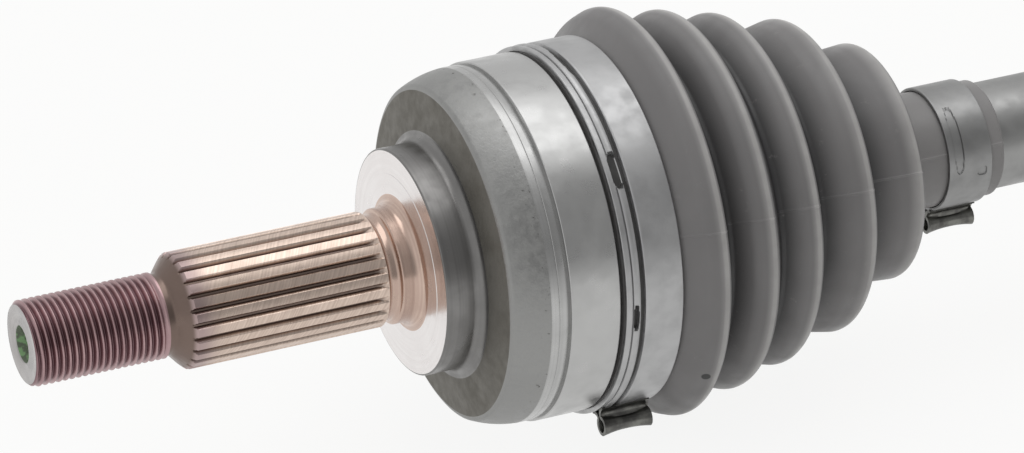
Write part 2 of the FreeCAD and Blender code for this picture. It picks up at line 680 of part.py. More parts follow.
def clamp(inner_r, wall, x_from, width, ear_angle, windows):
    """Clamp band with its windows and its crimped ear."""
    outer_r = inner_r + wall
    band = turned([
        (x_from, inner_r),
        (x_from, outer_r),
        (x_from + width, outer_r),
        (x_from + width, inner_r),
    ])
    for offset, window_width, span, angle in windows:
        band = band.cut(clamp_window(outer_r, x_from + offset, window_width, span, ear_angle + angle))
    return band.fuse(clamp_ear(outer_r, x_from + width / 2, ear_angle)).removeSplitter()


def large_clamp(inner_r, x_from, width, ear_angle):
    """Wide clamp, with a groove that its windows lie in."""
    groove_from = CLAMP_GROOVE_WIDTH / 2
    windows = [(groove_from, CLAMP_GROOVE_WIDTH, span, angle) for span, angle in CLAMP_GROOVE_WINDOWS]
    blank = clamp(inner_r, LARGE_CLAMP_WALL, x_from, width, ear_angle, windows)
    groove_x = x_from + groove_from
    groove_r = inner_r + LARGE_CLAMP_WALL - CLAMP_GROOVE_DEPTH
    groove = turned([
        (groove_x, groove_r),
        (groove_x, groove_r + CLAMP_GROOVE_WIDTH),
        (groove_x + CLAMP_GROOVE_WIDTH, groove_r + CLAMP_GROOVE_WIDTH),
        (groove_x + CLAMP_GROOVE_WIDTH, groove_r),
    ])
    foot = clamp_ear(inner_r + LARGE_CLAMP_WALL, x_from + width / 2, ear_angle)
    return blank.cut(groove.cut(foot))


def clamps():
    """The four clamps, each by its node's name."""
    outer_large_r = BELL_SEAT_R + LARGE_COLLAR_WALL
    inner_large_r = CUP_SEAT_R + LARGE_COLLAR_WALL
    small_r = BAR_R + SEAT_PLAY + SMALL_COLLAR_WALL + SEAT_PLAY
    outer_large_x = OUTER_COLLAR_END - SEAT_PLAY - LARGE_CLAMP_WIDTH
    outer_small_x = OUTER_SMALL_COLLAR[1] - SMALL_COLLAR_LIP - SMALL_CLAMP_WIDTH
    inner_small_x = INNER_SMALL_COLLAR[0] + SMALL_COLLAR_LIP
    inner_large_x = cup_places()[0] + CUP_SEAT_WIDTH / 2 - CUP_CLAMP_WIDTH / 2
    nodes = {
        "outer_boot_clamp_large": large_clamp(
            outer_large_r, outer_large_x, LARGE_CLAMP_WIDTH, OUTER_LARGE_EAR_ANGLE),
        "inner_boot_clamp_large": large_clamp(
            inner_large_r, inner_large_x, CUP_CLAMP_WIDTH, INNER_LARGE_EAR_ANGLE),
    }
    for node, x_from, ear_angle in (
            ("outer_boot_clamp_small", outer_small_x, OUTER_SMALL_EAR_ANGLE),
            ("inner_boot_clamp_small", inner_small_x, INNER_SMALL_EAR_ANGLE)):
        nodes[node] = clamp(
            small_r, SMALL_CLAMP_WALL, x_from, SMALL_CLAMP_WIDTH, ear_angle, SMALL_CLAMP_WINDOWS)
    return nodes


def build():
    outer_circlip, outer_stop = race_clips(OUTER_CENTRE_X, -1, OUTER_RACE_WIDTH)
    inner_circlip, inner_stop = race_clips(INNER_CENTRE_X, 1, INNER_RACE_WIDTH)
    pieces = {
        "wheel_stub_housing": wheel_stub_housing(),
        "outer_joint_race": outer_joint_race(),
        "outer_joint_cage": outer_joint_cage(),
        "outer_joint_circlip": outer_circlip,
        "outer_joint_stop_ring": outer_stop,
        "outer_boot": outer_boot(),
        "axle_bar": axle_bar(),
        "inner_joint_cup": inner_joint_cup(),
        "inner_joint_race": inner_joint_race(),
        "inner_joint_cage": inner_joint_cage(),
        "inner_joint_circlip": inner_circlip,
        "inner_joint_stop_ring": inner_stop,
        "inner_cup_snap_ring": inner_cup_snap_ring(),
        "inner_boot": inner_boot(),
        "gearbox_stub_circlip": gearbox_stub_circlip(),
    }
    pieces.update(balls("outer_ball", OUTER_CENTRE_X, OUTER_BALL_R, OUTER_PITCH_R))
    pieces.update(balls("inner_ball", INNER_CENTRE_X, INNER_BALL_R, INNER_PITCH_R))
    pieces.update(clamps())
    return pieces


os.makedirs("parts", exist_ok=True)
for node, shape in build().items():
    shape.exportStep("parts/" + node + ".step")
    print(node, len(shape.Solids), "solid", shape.isValid(), round(shape.Volume / 1000, 1), "cm3")
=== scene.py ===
import math

import bmesh
import bpy
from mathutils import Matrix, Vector


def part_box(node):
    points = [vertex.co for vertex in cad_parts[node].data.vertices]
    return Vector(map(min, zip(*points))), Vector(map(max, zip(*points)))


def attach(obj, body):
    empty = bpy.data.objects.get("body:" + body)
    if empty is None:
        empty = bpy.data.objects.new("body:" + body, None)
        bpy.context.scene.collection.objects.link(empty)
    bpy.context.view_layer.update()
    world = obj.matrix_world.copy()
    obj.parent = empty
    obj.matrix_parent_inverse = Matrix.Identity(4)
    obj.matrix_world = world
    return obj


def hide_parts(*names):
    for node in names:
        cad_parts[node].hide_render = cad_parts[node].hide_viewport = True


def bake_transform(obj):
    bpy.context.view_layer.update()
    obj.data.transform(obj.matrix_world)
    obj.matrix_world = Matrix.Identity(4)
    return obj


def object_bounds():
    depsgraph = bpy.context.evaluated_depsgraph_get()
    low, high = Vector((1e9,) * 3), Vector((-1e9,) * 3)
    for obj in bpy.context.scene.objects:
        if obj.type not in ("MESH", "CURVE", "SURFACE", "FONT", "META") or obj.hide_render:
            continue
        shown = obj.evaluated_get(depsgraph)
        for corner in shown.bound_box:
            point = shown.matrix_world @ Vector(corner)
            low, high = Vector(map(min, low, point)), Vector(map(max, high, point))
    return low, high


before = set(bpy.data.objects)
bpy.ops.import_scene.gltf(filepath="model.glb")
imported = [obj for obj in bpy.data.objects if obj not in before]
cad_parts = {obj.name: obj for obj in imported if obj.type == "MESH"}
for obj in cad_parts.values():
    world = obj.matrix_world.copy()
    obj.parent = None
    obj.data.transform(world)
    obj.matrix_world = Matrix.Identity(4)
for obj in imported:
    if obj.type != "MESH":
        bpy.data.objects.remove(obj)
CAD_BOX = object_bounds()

# Looks of a front-axle half shaft. The shaft lies along X with its wheel end at -X.
# Lengths are in millimetres and become metres when a mesh is made. R in a name is a radius.
# A place round the shaft is an angle in degrees from -Y towards -Z. HAIR is the play when radii are compared.
MM = 0.001
HAIR = 0.01

# Meshes: points round a turned piece, the longest step and turn of an arc, and the angle of a sharp edge
ROUND = 288
ARC_STEP = 0.5
ARC_TURN = 7.0
SHARP_ANGLE = 32.0
THREAD_SHARP_ANGLE = 60.0
SPLINE_SHARP_ANGLE = 28.0
EAR_SHARP_ANGLE = 50.0

# Camera, floor, room and light. The room is darker on one side, within a span of the cosine to it.
VIEW_AZIMUTH = -24.6
VIEW_ELEVATION = 28.2
VIEW_DISTANCE = 1665.0
VIEW_TARGET = (34.0, 0.0, 3.64)
LENS = 210.94
SENSOR = 36.0
WHITE = (0.99, 0.99, 0.985, 1)
FLOOR_DROP = 0.3
FLOOR_HALF = 4000.0
FLOOR_GLOW = 0.9
DARK_SIDE = (0.37, -0.86, 0.35)
DARK_SPAN = (0.45, 0.95)
ROOM_LIGHT = 0.80
DARK_SIDE_LIGHT = 0.38
LIGHT_PLACE = (300.0, 260.0, 1250.0)
LIGHT_AIM = (60.0, 0.0, 0.0)
LIGHT_SIZE = (1500.0, 900.0)
LIGHT_POWER = 5.0

# Wheel stub. Shares are of the thread's pitch and of the spline's, and rows are points along a stretch.
STUB_TIP_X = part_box("wheel_stub_housing")[0].x / MM
THREAD_END_X = -72.6
THREAD_R = 12.0
THREAD_PITCH = 1.92
THREAD_DEPTH = 1.15
THREAD_ROOT_SHARE = 0.14
THREAD_FLANK_SHARE = 0.70
THREAD_CHAMFER = 0.9
THREAD_FACE_R = 11.0
THREAD_ROWS = 12
THREAD_ROUND = 144
THREAD_RUNOUT = 2.5
HOLE_R = 5.4
HOLE_DEPTH = 9.0
HOLE_CONE_ANGLE = 30.0
HOLE_LIP = 0.3
HOLE_LIP_DROP = 0.2
DRILL_R = 2.16
NECK_R = 11.4
NECK_END_X = -70.6
NECK_ROUND = 1.5
CONE_LENGTH = 1.2
CONE_SINK = 0.1
CONE_EDGE = 0.25
CONE_ROWS = 6
SPLINE_X = -66.4
SPLINE_END_X = -10.0
SPLINE_TIP_R = 16.25
SPLINE_DEPTH = 1.3
SPLINE_TEETH = 24
SPLINE_TURN = 4.0
SPLINE_ROOT_HALF = 0.06
SPLINE_FLANK = 0.13
SPLINE_TIP_HALF = 0.2
SPLINE_EDGE = 0.03
SPLINE_EDGE_DROP = 0.12
SPLINE_LAND = 0.36
SPLINE_RUNOUT = 3.6
SPLINE_RUNOUT_POWER = 0.7
SPLINE_RUNOUT_ROWS = 12
SPLINE_ROWS = 12
SPLINE_ROW_STEP = 4.0
SPLINE_STAIN_X = (-66.0, -58.0)
RELIEF_R = 14.8
PILOT_X = -6.0
PILOT_R = 16.3
PILOT_FILLET = 3.0

# Bell
BOSS_R = 32.0
BOSS_LENGTH = 11.0
BOSS_FILLET = 3.0
FACE_STEP_R = 25.0
FACE_RAISE = 0.12
BACK_X = 12.4
BACK_EDGE_R = 47.0
BAND_X = 23.5
BAND_R = 50.3
BAND_LINE_X = 25.2
GROOVE_X = 27.0
GROOVE_R = 49.9
RIM_X = 28.6
RIM_R = 50.9
SEAT_X = 43.4
SEAT_R = 47.5
MOUTH_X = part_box("wheel_stub_housing")[1].x / MM
MOUTH_EDGE = 1.0
SOCKET_FLOOR_X = 9.0
SOCKET_PLAY = 0.1
OUTER_CENTRE_X = 38.0
PITS_X = (19.5, 21.5)
SCUFFS_X = (33.5, 29.5)

# Boots. A lobe is the corner (x, r) of its crest before it is rounded. Each valley has a radius of its own.
# INNER_SPLIT is the number of the lobe at whose foot the inboard boot is split. DIMPLE_PLACE is x, r, angle
# of a small dimple that is only painted shade.
BOOT_WALL = 2.4
LOBE_FALL = 5.0
LOBE_SHOULDER_DROP = 0.25
LOBE_SHOULDER_ROUND = 6.0
LOBE_CREST_ROUND = 2.2
LOBE_VALLEY_ROUND = 1.5
LOBE_LEAST_ROUND = 0.4
OUTER_LOBES = ((73.0, 58.9), (89.6, 54.9), (105.2, 51.0), (124.8, 45.5), (145.7, 34.3))
OUTER_VALLEYS = (46.3, 45.5, 39.5, 31.8)
OUTER_COLLAR = (44.6, 62.0)
OUTER_SMALL_COLLAR = (153.0, 180.6)
INNER_LOBES = ((345.5, 52.4), (331.0, 48.4), (316.5, 43.4), (302.0, 37.9), (287.5, 31.4))
INNER_VALLEYS = (41.0, 36.0, 30.5, 24.0)
INNER_COLLAR = (377.4, 357.5)
INNER_SMALL_COLLAR = (280.5, 256.0)
INNER_SPLIT = 0
CUP_SEAT_R = 46.0
LARGE_COLLAR_WALL = 3.4
LARGE_COLLAR_EDGE = 0.4
COLLAR_BORE_R = 15.8
SMALL_COLLAR_R = 16.8
SMALL_COLLAR_EDGE = 0.7
SMALL_COLLAR_EDGE_DROP = 0.6
DIMPLE_PLACE = (69.2, 57.6, 27.0)
DIMPLE_R = 1.3
PARTING_ANGLE = -20.0
PARTING_HEIGHT = 0.25
PARTING_WIDTH = 0.3
PARTING_STEP = 0.14
PARTING_STEPS = 7
PARTING_CLEAR = 1.2

# Painted light and shade on a boot, from 0 in a valley to 1 on a crest, as (distance from a crest or a foot
# towards the bar, value)
PAINTED_LIGHT_AT_CREST = ((-2.8, 0.5), (-1.3, 1.0), (-0.5, 1.0), (0.6, 0.22))
PAINTED_LIGHT_AT_FOOT = ((0.0, 0.0), (2.5, 0.26), (6.0, 0.42))
PAINTED_LIGHT_AT_LAST_FOOT = ((0.0, 0.0), (2.5, 0.74))

# Clamps. A clamp is its two edges along x. A window is its two edges along x from the band's edge, its
# middle angle from the ear and half its span. Profiles are (distance from the band's edge, depth). A sunk
# floor, as in a window or the channel, gets a painted shade where it lies from DARK_LEAST to DARK_SHARE of
# the wall above the band's inside.
LARGE_CLAMP_WALL = 1.3
SMALL_CLAMP_WALL = 0.8
CLAMP_PLAY = 0.3
CLAMP_LEFT_ROUND = 0.35
CLAMP_RIGHT_ROUND = 0.5
CLAMP_STEP = 0.25
CLAMP_LINE = ((1.55, 0.1), (1.75, 0.6), (2.0, 0.6))
TONGUE_START = 2.2
TONGUE_STEP = 0.2
TONGUE_STEPS = 10
TONGUE_SINK = 0.12
TONGUE_RISE = 0.012
CLAMP_CHANNEL = ((4.45, 1.0), (5.5, 1.0), (5.8, 0.2))
CHANNEL_ROUND = (6.1, 0.03)
CHANNEL_END = 6.6
LARGE_CLAMP = (44.5, 61.7)
SMALL_CLAMP = (162.2, 176.0)
CUP_CLAMP = (363.0, 375.0)
INNER_SMALL_CLAMP = (260.6, 274.4)
LARGE_EAR_ANGLE = 53.5
SMALL_EAR_ANGLE = 77.0
CUP_EAR_ANGLE = 60.0
INNER_SMALL_EAR_ANGLE = 80.0
LARGE_WINDOWS = ((3.6, 5.6, -143.0, 9.0), (1.9, 4.4, -97.5, 6.0), (2.3, 3.6, -51.0, 4.5))
SMALL_WINDOWS = ((2.0, 4.8, -109.0, 33.0), (9.2, 12.0, -75.0, 4.5))
SMALL_WINDOW_DEPTH = 0.35
WINDOW_FLOOR = 0.12
WINDOW_STEPS = 24
WINDOW_EDGE = 0.1
WINDOW_CLEAR = 0.4
DARK_LEAST = 0.05
DARK_SHARE = 0.3

# Ears. The foot's points are (distance across, height over the band), and the loop's angles are in degrees.
EAR_LENGTH = 14.5
EAR_HEIGHT = 4.4
EAR_ROUND = 2.0
EAR_WALL = 0.95
EAR_FOOT = ((3.6, -0.3), (2.3, 0.1), (1.2, 0.9), (0.75, 1.9))
EAR_LOOP_START = -62.0
EAR_LOOP_TURN = 304.0
EAR_LOOP_STEPS = 16
EAR_WAIST = 0.82
EAR_FLARE = 0.38
EAR_FLARE_POWER = 2.2
EAR_ROWS = 22

# Bar and cup: where paint, ground steel and spline begin and end, and how far the change between two reaches
BAR_PAINT_X = 60.0
BAR_PAINT_END_X = 378.0
PAINT_BLUR = 3.0
SEAL_X = 456.8
SEAL_END_X = 486.2
CUP_SPLINE_X = 485.0
SEAL_BLUR = 0.8

# Lathe marks: lines to a metre and their depth
LATHE_LINES = 900.0
LATHE_DEPTH = 0.006


def arc_points(start, through, end):
    """Points on the arc from start through a middle point to end, without the start."""
    (ax, ay), (bx, by), (cx, cy) = start, through, end
    turn = 2 * (ax * (by - cy) + bx * (cy - ay) + cx * (ay - by))
    a2, b2, c2 = ax * ax + ay * ay, bx * bx + by * by, cx * cx + cy * cy
    mid_x = (a2 * (by - cy) + b2 * (cy - ay) + c2 * (ay - by)) / turn
    mid_y = (a2 * (cx - bx) + b2 * (ax - cx) + c2 * (bx - ax)) / turn
    radius = math.hypot(ax - mid_x, ay - mid_y)
    first = math.atan2(ay - mid_y, ax - mid_x)
    passed = (math.atan2(by - mid_y, bx - mid_x) - first) % math.tau
    sweep = (math.atan2(cy - mid_y, cx - mid_x) - first) % math.tau
    if passed > sweep:
        sweep -= math.tau
    count = max(3, int(abs(sweep) * radius / ARC_STEP), int(abs(math.degrees(sweep)) / ARC_TURN))
    turns = [first + sweep * index / count for index in range(1, count + 1)]
    return [(mid_x + radius * math.cos(turn), mid_y + radius * math.sin(turn)) for turn in turns]


def rounded(corners):
    """Steps along straight runs. Each inner corner (x, r, radius) is rounded by a tangent arc."""
    steps = [corners[0][:2]]
    for before, corner, after in zip(corners, corners[1:], corners[2:]):
        point = Vector(corner[:2])
        back = (Vector(before[:2]) - point).normalized()
        ahead = (Vector(after[:2]) - point).normalized()
        half = back.angle(ahead) / 2
        inward = (back + ahead).normalized()
        reach = corner[2] / math.tan(half)
        middle = point + inward * (corner[2] / math.sin(half) - corner[2])
        steps.append(tuple(point + back * reach))
        steps.append((*middle, *(point + ahead * reach)))
    steps.append(corners[-1][:2])
    return steps


def outline(zones):
    """Outline points and, for each stretch between two of them, the number of its zone."""
    points, owners = [], []
    for number, (_, steps) in enumerate(zones):
        for step in steps:
            fresh = [step]
            if len(step) == 4:
                fresh = arc_points(points[-1], step[:2], step[2:])
            if points:
                owners += [number] * len(fresh)
            points += fresh
    return points, owners


def even_angles(count):
    """Angles in equal steps round the shaft."""
    return [math.tau * index / count for index in range(count)]


def at(x, radius, angle):
    """Point at an angle round the shaft, in radians from -Y towards -Z."""
    return Vector((x, -radius * math.cos(angle), -radius * math.sin(angle)))


def new_piece(name, points, faces, slots, materials, sharp=SHARP_ANGLE):
    """Piece from points in millimetres. It is smooth but for edges sharper than the angle."""
    mesh = bpy.data.meshes.new(name)
    mesh.from_pydata([tuple(c * MM for c in point) for point in points], [], faces)
    for material in materials:
        mesh.materials.append(material)
    mesh.polygons.foreach_set("material_index", slots)
    face_outward(mesh)
    mesh.shade_smooth()
    mesh.set_sharp_from_angle(angle=math.radians(sharp))
    piece = bpy.data.objects.new(name, mesh)
    bpy.context.scene.collection.objects.link(piece)
    return piece


def face_outward(mesh):
    """Turns the faces of a mesh so that they all look outward."""
    bm = bmesh.new()
    bm.from_mesh(mesh)
    bmesh.ops.recalc_face_normals(bm, faces=bm.faces)
    bm.to_mesh(mesh)
    bm.free()


def turned(name, zones, angles=None, shape=None, closed=False, capped=True, sharp=SHARP_ANGLE):
    """Piece turned about X. Each zone is a material and its steps; shape(x, r, angle) may change a radius."""
    stretch, owners = outline(zones)
    angles = angles or even_angles(ROUND)
    points, rings = [], []
    for x, r in stretch:
        if r == 0:
            rings.append([len(points)])
            points.append((x, 0, 0))
            continue
        rings.append(list(range(len(points), len(points) + len(angles))))
        points += [at(x, shape(x, r, angle) if shape else r, angle) for angle in angles]
    pairs = list(zip(rings, rings[1:], owners))
    if closed:
        pairs.append((rings[-1], rings[0], owners[-1]))
    faces, slots = [], []
    for here, there, owner in pairs:
        new = ring_faces(here, there)
        faces += new
        slots += [owner] * len(new)
    if not closed and capped:
        for ring, owner in ((rings[0], owners[0]), (rings[-1], owners[-1])):
            if len(ring) > 1:
                faces.append(tuple(ring))
                slots.append(owner)
    return new_piece(name, points, faces, slots, [material for material, _ in zones], sharp)


def ring_faces(here, there):
    """Faces between two rings of points, of which one may be a single point on the axis."""
    count = max(len(here), len(there))
    if len(here) == 1:
        return [(here[0], there[(i + 1) % count], there[i]) for i in range(count)]
    if len(there) == 1:
        return [(here[i], here[(i + 1) % count], there[0]) for i in range(count)]
    return [(here[i], here[(i + 1) % count], there[(i + 1) % count], there[i]) for i in range(count)]


class Finish:
    """A material and short calls that add nodes to it. Places are in metres, in the frame of the solids."""

    def __init__(self, name, roughness, metallic=1.0):
        self.material = bpy.data.materials.new(name)
        self.material.use_nodes = True
        self.nodes = self.material.node_tree.nodes
        self.links = self.material.node_tree.links
        self.shader = self.nodes["Principled BSDF"]
        self.roughness = roughness
        self.shader.inputs["Roughness"].default_value = roughness
        self.shader.inputs["Metallic"].default_value = metallic
        self.place = self.nodes.new("ShaderNodeTexCoord").outputs["Object"]
        parts = self.nodes.new("ShaderNodeSeparateXYZ")
        self.links.new(self.place, parts.inputs[0])
        self.x, self.y, self.z = parts.outputs
        squares = self.sum("MULTIPLY", self.y, self.y), self.sum("MULTIPLY", self.z, self.z)
        self.r = self.sum("SQRT", self.sum("ADD", *squares))
        down, front = self.sum("MULTIPLY", self.z, -1.0), self.sum("MULTIPLY", self.y, -1.0)
        self.angle = self.sum("ARCTAN2", down, front)
        self.height = None

    def feed(self, socket, value):
        """Links a socket to another, or sets it to a plain value."""
        if isinstance(value, bpy.types.NodeSocket):
            self.links.new(value, socket)
        elif value is not None:
            socket.default_value = value

    def sum(self, operation, first, second=None):
        """Result of a sum with one or two values."""
        node = self.nodes.new("ShaderNodeMath")
        node.operation = operation
        self.feed(node.inputs[0], first)
        self.feed(node.inputs[1], second)
        return node.outputs[0]

    def steps(self, value, low, high, from_value=0.0, to_value=1.0):
        """Value carried smoothly from one range to another, and held at its ends."""
        node = self.nodes.new("ShaderNodeMapRange")
        node.interpolation_type = "SMOOTHSTEP"
        self.feed(node.inputs["Value"], value)
        self.feed(node.inputs["From Min"], low)
        self.feed(node.inputs["From Max"], high)
        self.feed(node.inputs["To Min"], from_value)
        self.feed(node.inputs["To Max"], to_value)
        return node.outputs[0]

    def near(self, point, radius):
        """1 within a radius of a point, both in millimetres, and 0 away from it."""
        node = self.nodes.new("ShaderNodeVectorMath")
        node.operation = "DISTANCE"
        self.links.new(self.place, node.inputs[0])
        node.inputs[1].default_value = [c * MM for c in point]
        return self.steps(node.outputs["Value"], 1.15 * radius * MM, 0.85 * radius * MM)

    def along(self, low, high):
        """0 at one place along X and 1 at another, both in millimetres."""
        return self.steps(self.x, low * MM, high * MM)

    def outward(self, low, high):
        """0 at one radius and 1 at another, both in millimetres."""
        return self.steps(self.r, low * MM, high * MM)

    def vector(self, x, y, z):
        node = self.nodes.new("ShaderNodeCombineXYZ")
        for socket, value in zip(node.inputs, (x, y, z)):
            self.feed(socket, value)
        return node.outputs[0]

    def noise(self, scale, detail=3.0, rough=0.55, place=None):
        node = self.nodes.new("ShaderNodeTexNoise")
        self.feed(node.inputs["Vector"], place or self.place)
        node.inputs["Scale"].default_value = scale
        node.inputs["Detail"].default_value = detail
        node.inputs["Roughness"].default_value = rough
        return node.outputs["Fac"]

    def turning(self):
        """Fine lines round the axis, as a lathe leaves them."""
        drift = self.sum("MULTIPLY", self.angle, 0.0001)
        return self.noise(LATHE_LINES, 2.0, 0.5, self.vector(self.x, self.r, drift))

    def lathe(self, depth=LATHE_DEPTH):
        """Lathe marks of a depth in millimetres, with smeared roughness. Gives back the marks."""
        lines = self.turning()
        smear = self.noise(160.0, 4.0)
        self.rough(self.steps(smear, 0.3, 0.75, self.roughness * 0.8, self.roughness * 1.3))
        self.bump(lines, depth)
        return lines

    def mix(self, amount, first, second):
        node = self.nodes.new("ShaderNodeMix")
        node.data_type = "RGBA"
        self.feed(node.inputs["Factor"], amount)
        colours = [socket for socket in node.inputs if socket.type == "RGBA"]
        for socket, value in zip(colours, (first, second)):
            self.feed(socket, (*value, 1) if isinstance(value, tuple) else value)
        return [socket for socket in node.outputs if socket.type == "RGBA"][0]

    def colour(self, amount, first, second):
        """Base colour, mixed from two by an amount from 0 to 1."""
        self.links.new(self.mix(amount, first, second), self.shader.inputs["Base Color"])

    def rough(self, value):
        self.links.new(value, self.shader.inputs["Roughness"])

    def bump(self, height, depth):
        """Relief of a depth in millimetres, laid over any relief before it."""
        node = self.nodes.new("ShaderNodeBump")
        node.inputs["Strength"].default_value = 1.0
        node.inputs["Distance"].default_value = depth * MM
        self.links.new(height, node.inputs["Height"])
        if self.height:
            self.links.new(self.height, node.inputs["Normal"])
        self.height = node.outputs["Normal"]
        self.links.new(self.height, self.shader.inputs["Normal"])


def turned_metal(name, light, dark, roughness, depth=LATHE_DEPTH):
    """Lathe-turned metal with slow changes of tone."""
    finish = Finish(name, roughness)
    tone = finish.sum("MULTIPLY", finish.lathe(depth), finish.noise(60.0, 4.0))
    finish.colour(finish.steps(tone, 0.12, 0.42), dark, light)
    return finish.material


def thread_metal():
    """Rosy phosphate coat, with painted shade in the thread's grooves."""
    finish = Finish("thread_metal", 0.36)
    finish.lathe()
    # Painted shade: the colour darkens towards the root of the thread.
    depth = finish.outward(THREAD_R - THREAD_DEPTH, THREAD_R - 0.15)
    body = finish.mix(finish.noise(140.0, 4.0), (0.33, 0.205, 0.22), (0.53, 0.375, 0.375))
    finish.colour(depth, (0.19, 0.115, 0.125), body)
    return finish.material


def spline_metal():
    """Copper-toned coat with slanted rolling marks, with painted shade in the grooves, and stained near the
    thread.
    """
    finish = Finish("spline_metal", 0.34)
    finish.lathe()
    # Painted shade: the colour darkens towards the root of the spline's grooves.
    depth = finish.outward(SPLINE_TIP_R - SPLINE_DEPTH, SPLINE_TIP_R - 0.1)
    slant = finish.sum("ADD", finish.x, finish.sum("MULTIPLY", finish.angle, 0.009))
    marks = finish.noise(1300.0, 2.0, 0.5, finish.vector(slant, 0.0, 0.0))
    body = finish.mix(finish.steps(marks, 0.35, 0.65), (0.58, 0.46, 0.39), (0.72, 0.585, 0.50))
    stained = finish.mix(finish.along(*SPLINE_STAIN_X), (0.42, 0.32, 0.31), body)
    finish.colour(depth, (0.19, 0.14, 0.12), stained)
    finish.bump(marks, 0.03)
    return finish.material


def pilot_metal():
    """Copper-toned, smoothly ground ring that centres the hub."""
    return turned_metal("pilot_metal", (0.66, 0.51, 0.43), (0.50, 0.37, 0.31), 0.22)


def face_metal():
    return turned_metal("face_metal", (0.83, 0.80, 0.79), (0.79, 0.755, 0.745), 0.22, 0.001)


def boss_metal():
    return turned_metal("boss_metal", (0.24, 0.235, 0.23), (0.19, 0.186, 0.182), 0.34)


def tip_metal():
    return turned_metal("tip_metal", (0.52, 0.50, 0.49), (0.40, 0.385, 0.38), 0.32)


def hole_paint():
    finish = Finish("hole_paint", 0.45, 0.0)
    patch = finish.steps(finish.noise(420.0, 3.0), 0.42, 0.55)
    finish.colour(patch, (0.20, 0.36, 0.16), (0.10, 0.13, 0.08))
    finish.bump(finish.noise(700.0), 0.08)
    return finish.material


def back_metal():
    """Dull, oily brown-grey of the bell's back plate."""
    finish = Finish("back_metal", 0.45)
    stain = finish.steps(finish.noise(70.0, 5.0, 0.6), 0.35, 0.65)
    finish.colour(stain, (0.185, 0.176, 0.156), (0.225, 0.216, 0.196))
    finish.rough(finish.steps(finish.noise(300.0, 5.0), 0.3, 0.7, 0.58, 0.72))
    finish.bump(finish.noise(900.0, 5.0), 0.06)
    return finish.material


def forged_metal():
    """Scaly forged shoulder, with dark pits near the band."""
    finish = Finish("forged_metal", 0.45)
    scale = finish.noise(330.0, 6.0, 0.65)
    pits = finish.steps(finish.noise(520.0, 4.0, 0.7), 0.60, 0.68)
    seen = finish.sum("MULTIPLY", pits, finish.along(*PITS_X))
    body = finish.mix(finish.steps(scale, 0.35, 0.65), (0.29, 0.29, 0.285), (0.345, 0.345, 0.338))
    finish.colour(seen, body, (0.10, 0.095, 0.09))
    finish.rough(finish.steps(scale, 0.3, 0.7, 0.38, 0.60))
    finish.bump(scale, 0.16)
    finish.bump(finish.noise(1500.0, 4.0), 0.03)
    return finish.material


def band_metal():
    return turned_metal("band_metal", (0.48, 0.48, 0.475), (0.40, 0.40, 0.395), 0.30)


def rim_metal():
    """Plain rim of the bell, with a few dark scuffs near the groove."""
    finish = Finish("rim_metal", 0.33)
    finish.lathe()
    spots = finish.steps(finish.noise(340.0, 5.0, 0.7), 0.72, 0.76)
    scuffs = finish.sum("MULTIPLY", spots, finish.along(*SCUFFS_X))
    finish.colour(scuffs, (0.465, 0.465, 0.46), (0.22, 0.22, 0.215))
    return finish.material


def build_stub():
    """Threaded end, splined stretch and bell, which the forging's solid has as one."""
    thread = hub_thread()
    spline = hub_spline()
    bell = bell_piece()
    for piece in (thread, spline, bell):
        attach(piece, "wheel_stub")
        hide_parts("wheel_stub_housing")


def thread_radius(x, r, angle):
    """Radius of the screw thread, faded into the neck and chamfered at the free end."""
    if r < THREAD_FACE_R:
        return r
    turn = ((x - STUB_TIP_X) / THREAD_PITCH - angle / math.tau) % 1
    height = min(1, max(0, (abs(turn - 0.5) * 2 - THREAD_ROOT_SHARE) / THREAD_FLANK_SHARE))
    fade = min(1, (THREAD_END_X - x) / THREAD_RUNOUT)
    cut = THREAD_R - THREAD_DEPTH * (1 - height) * fade
    return min(cut, THREAD_FACE_R + THREAD_CHAMFER * (x - STUB_TIP_X))


def hub_thread():
    """Threaded end with its centre hole."""
    count = round((THREAD_END_X - STUB_TIP_X) / THREAD_PITCH * THREAD_ROWS)
    step = (THREAD_END_X - STUB_TIP_X) / count
    rows = [(STUB_TIP_X + step * index, THREAD_R) for index in range(count + 1)]
    cone = (HOLE_R - DRILL_R) / math.tan(math.radians(HOLE_CONE_ANGLE))
    hole = [
        (STUB_TIP_X + HOLE_DEPTH, 0),
        (STUB_TIP_X + HOLE_DEPTH, DRILL_R),
        (STUB_TIP_X + cone, DRILL_R),
        (STUB_TIP_X + HOLE_LIP, HOLE_R - HOLE_LIP_DROP),
    ]
    zones = [
        (hole_paint(), hole),
        (tip_metal(), [(STUB_TIP_X, HOLE_R), (STUB_TIP_X, THREAD_FACE_R - HAIR)]),
        (thread_metal(), rows + [(THREAD_END_X, 0)]),
    ]
    return turned("hub_thread", zones, even_angles(THREAD_ROUND), thread_radius, sharp=THREAD_SHARP_ANGLE)


def spline_angles():
    """Angles round the spline, close together at the edges of each groove."""
    edge = SPLINE_TIP_HALF + SPLINE_EDGE
    half = [SPLINE_ROOT_HALF, SPLINE_FLANK, SPLINE_TIP_HALF, edge, SPLINE_LAND]
    places = [-0.5] + [-place for place in reversed(half)] + [0] + half
    pitch = math.tau / SPLINE_TEETH
    start = math.radians(SPLINE_TURN)
    return [start + (tooth + place) * pitch for tooth in range(SPLINE_TEETH) for place in places]


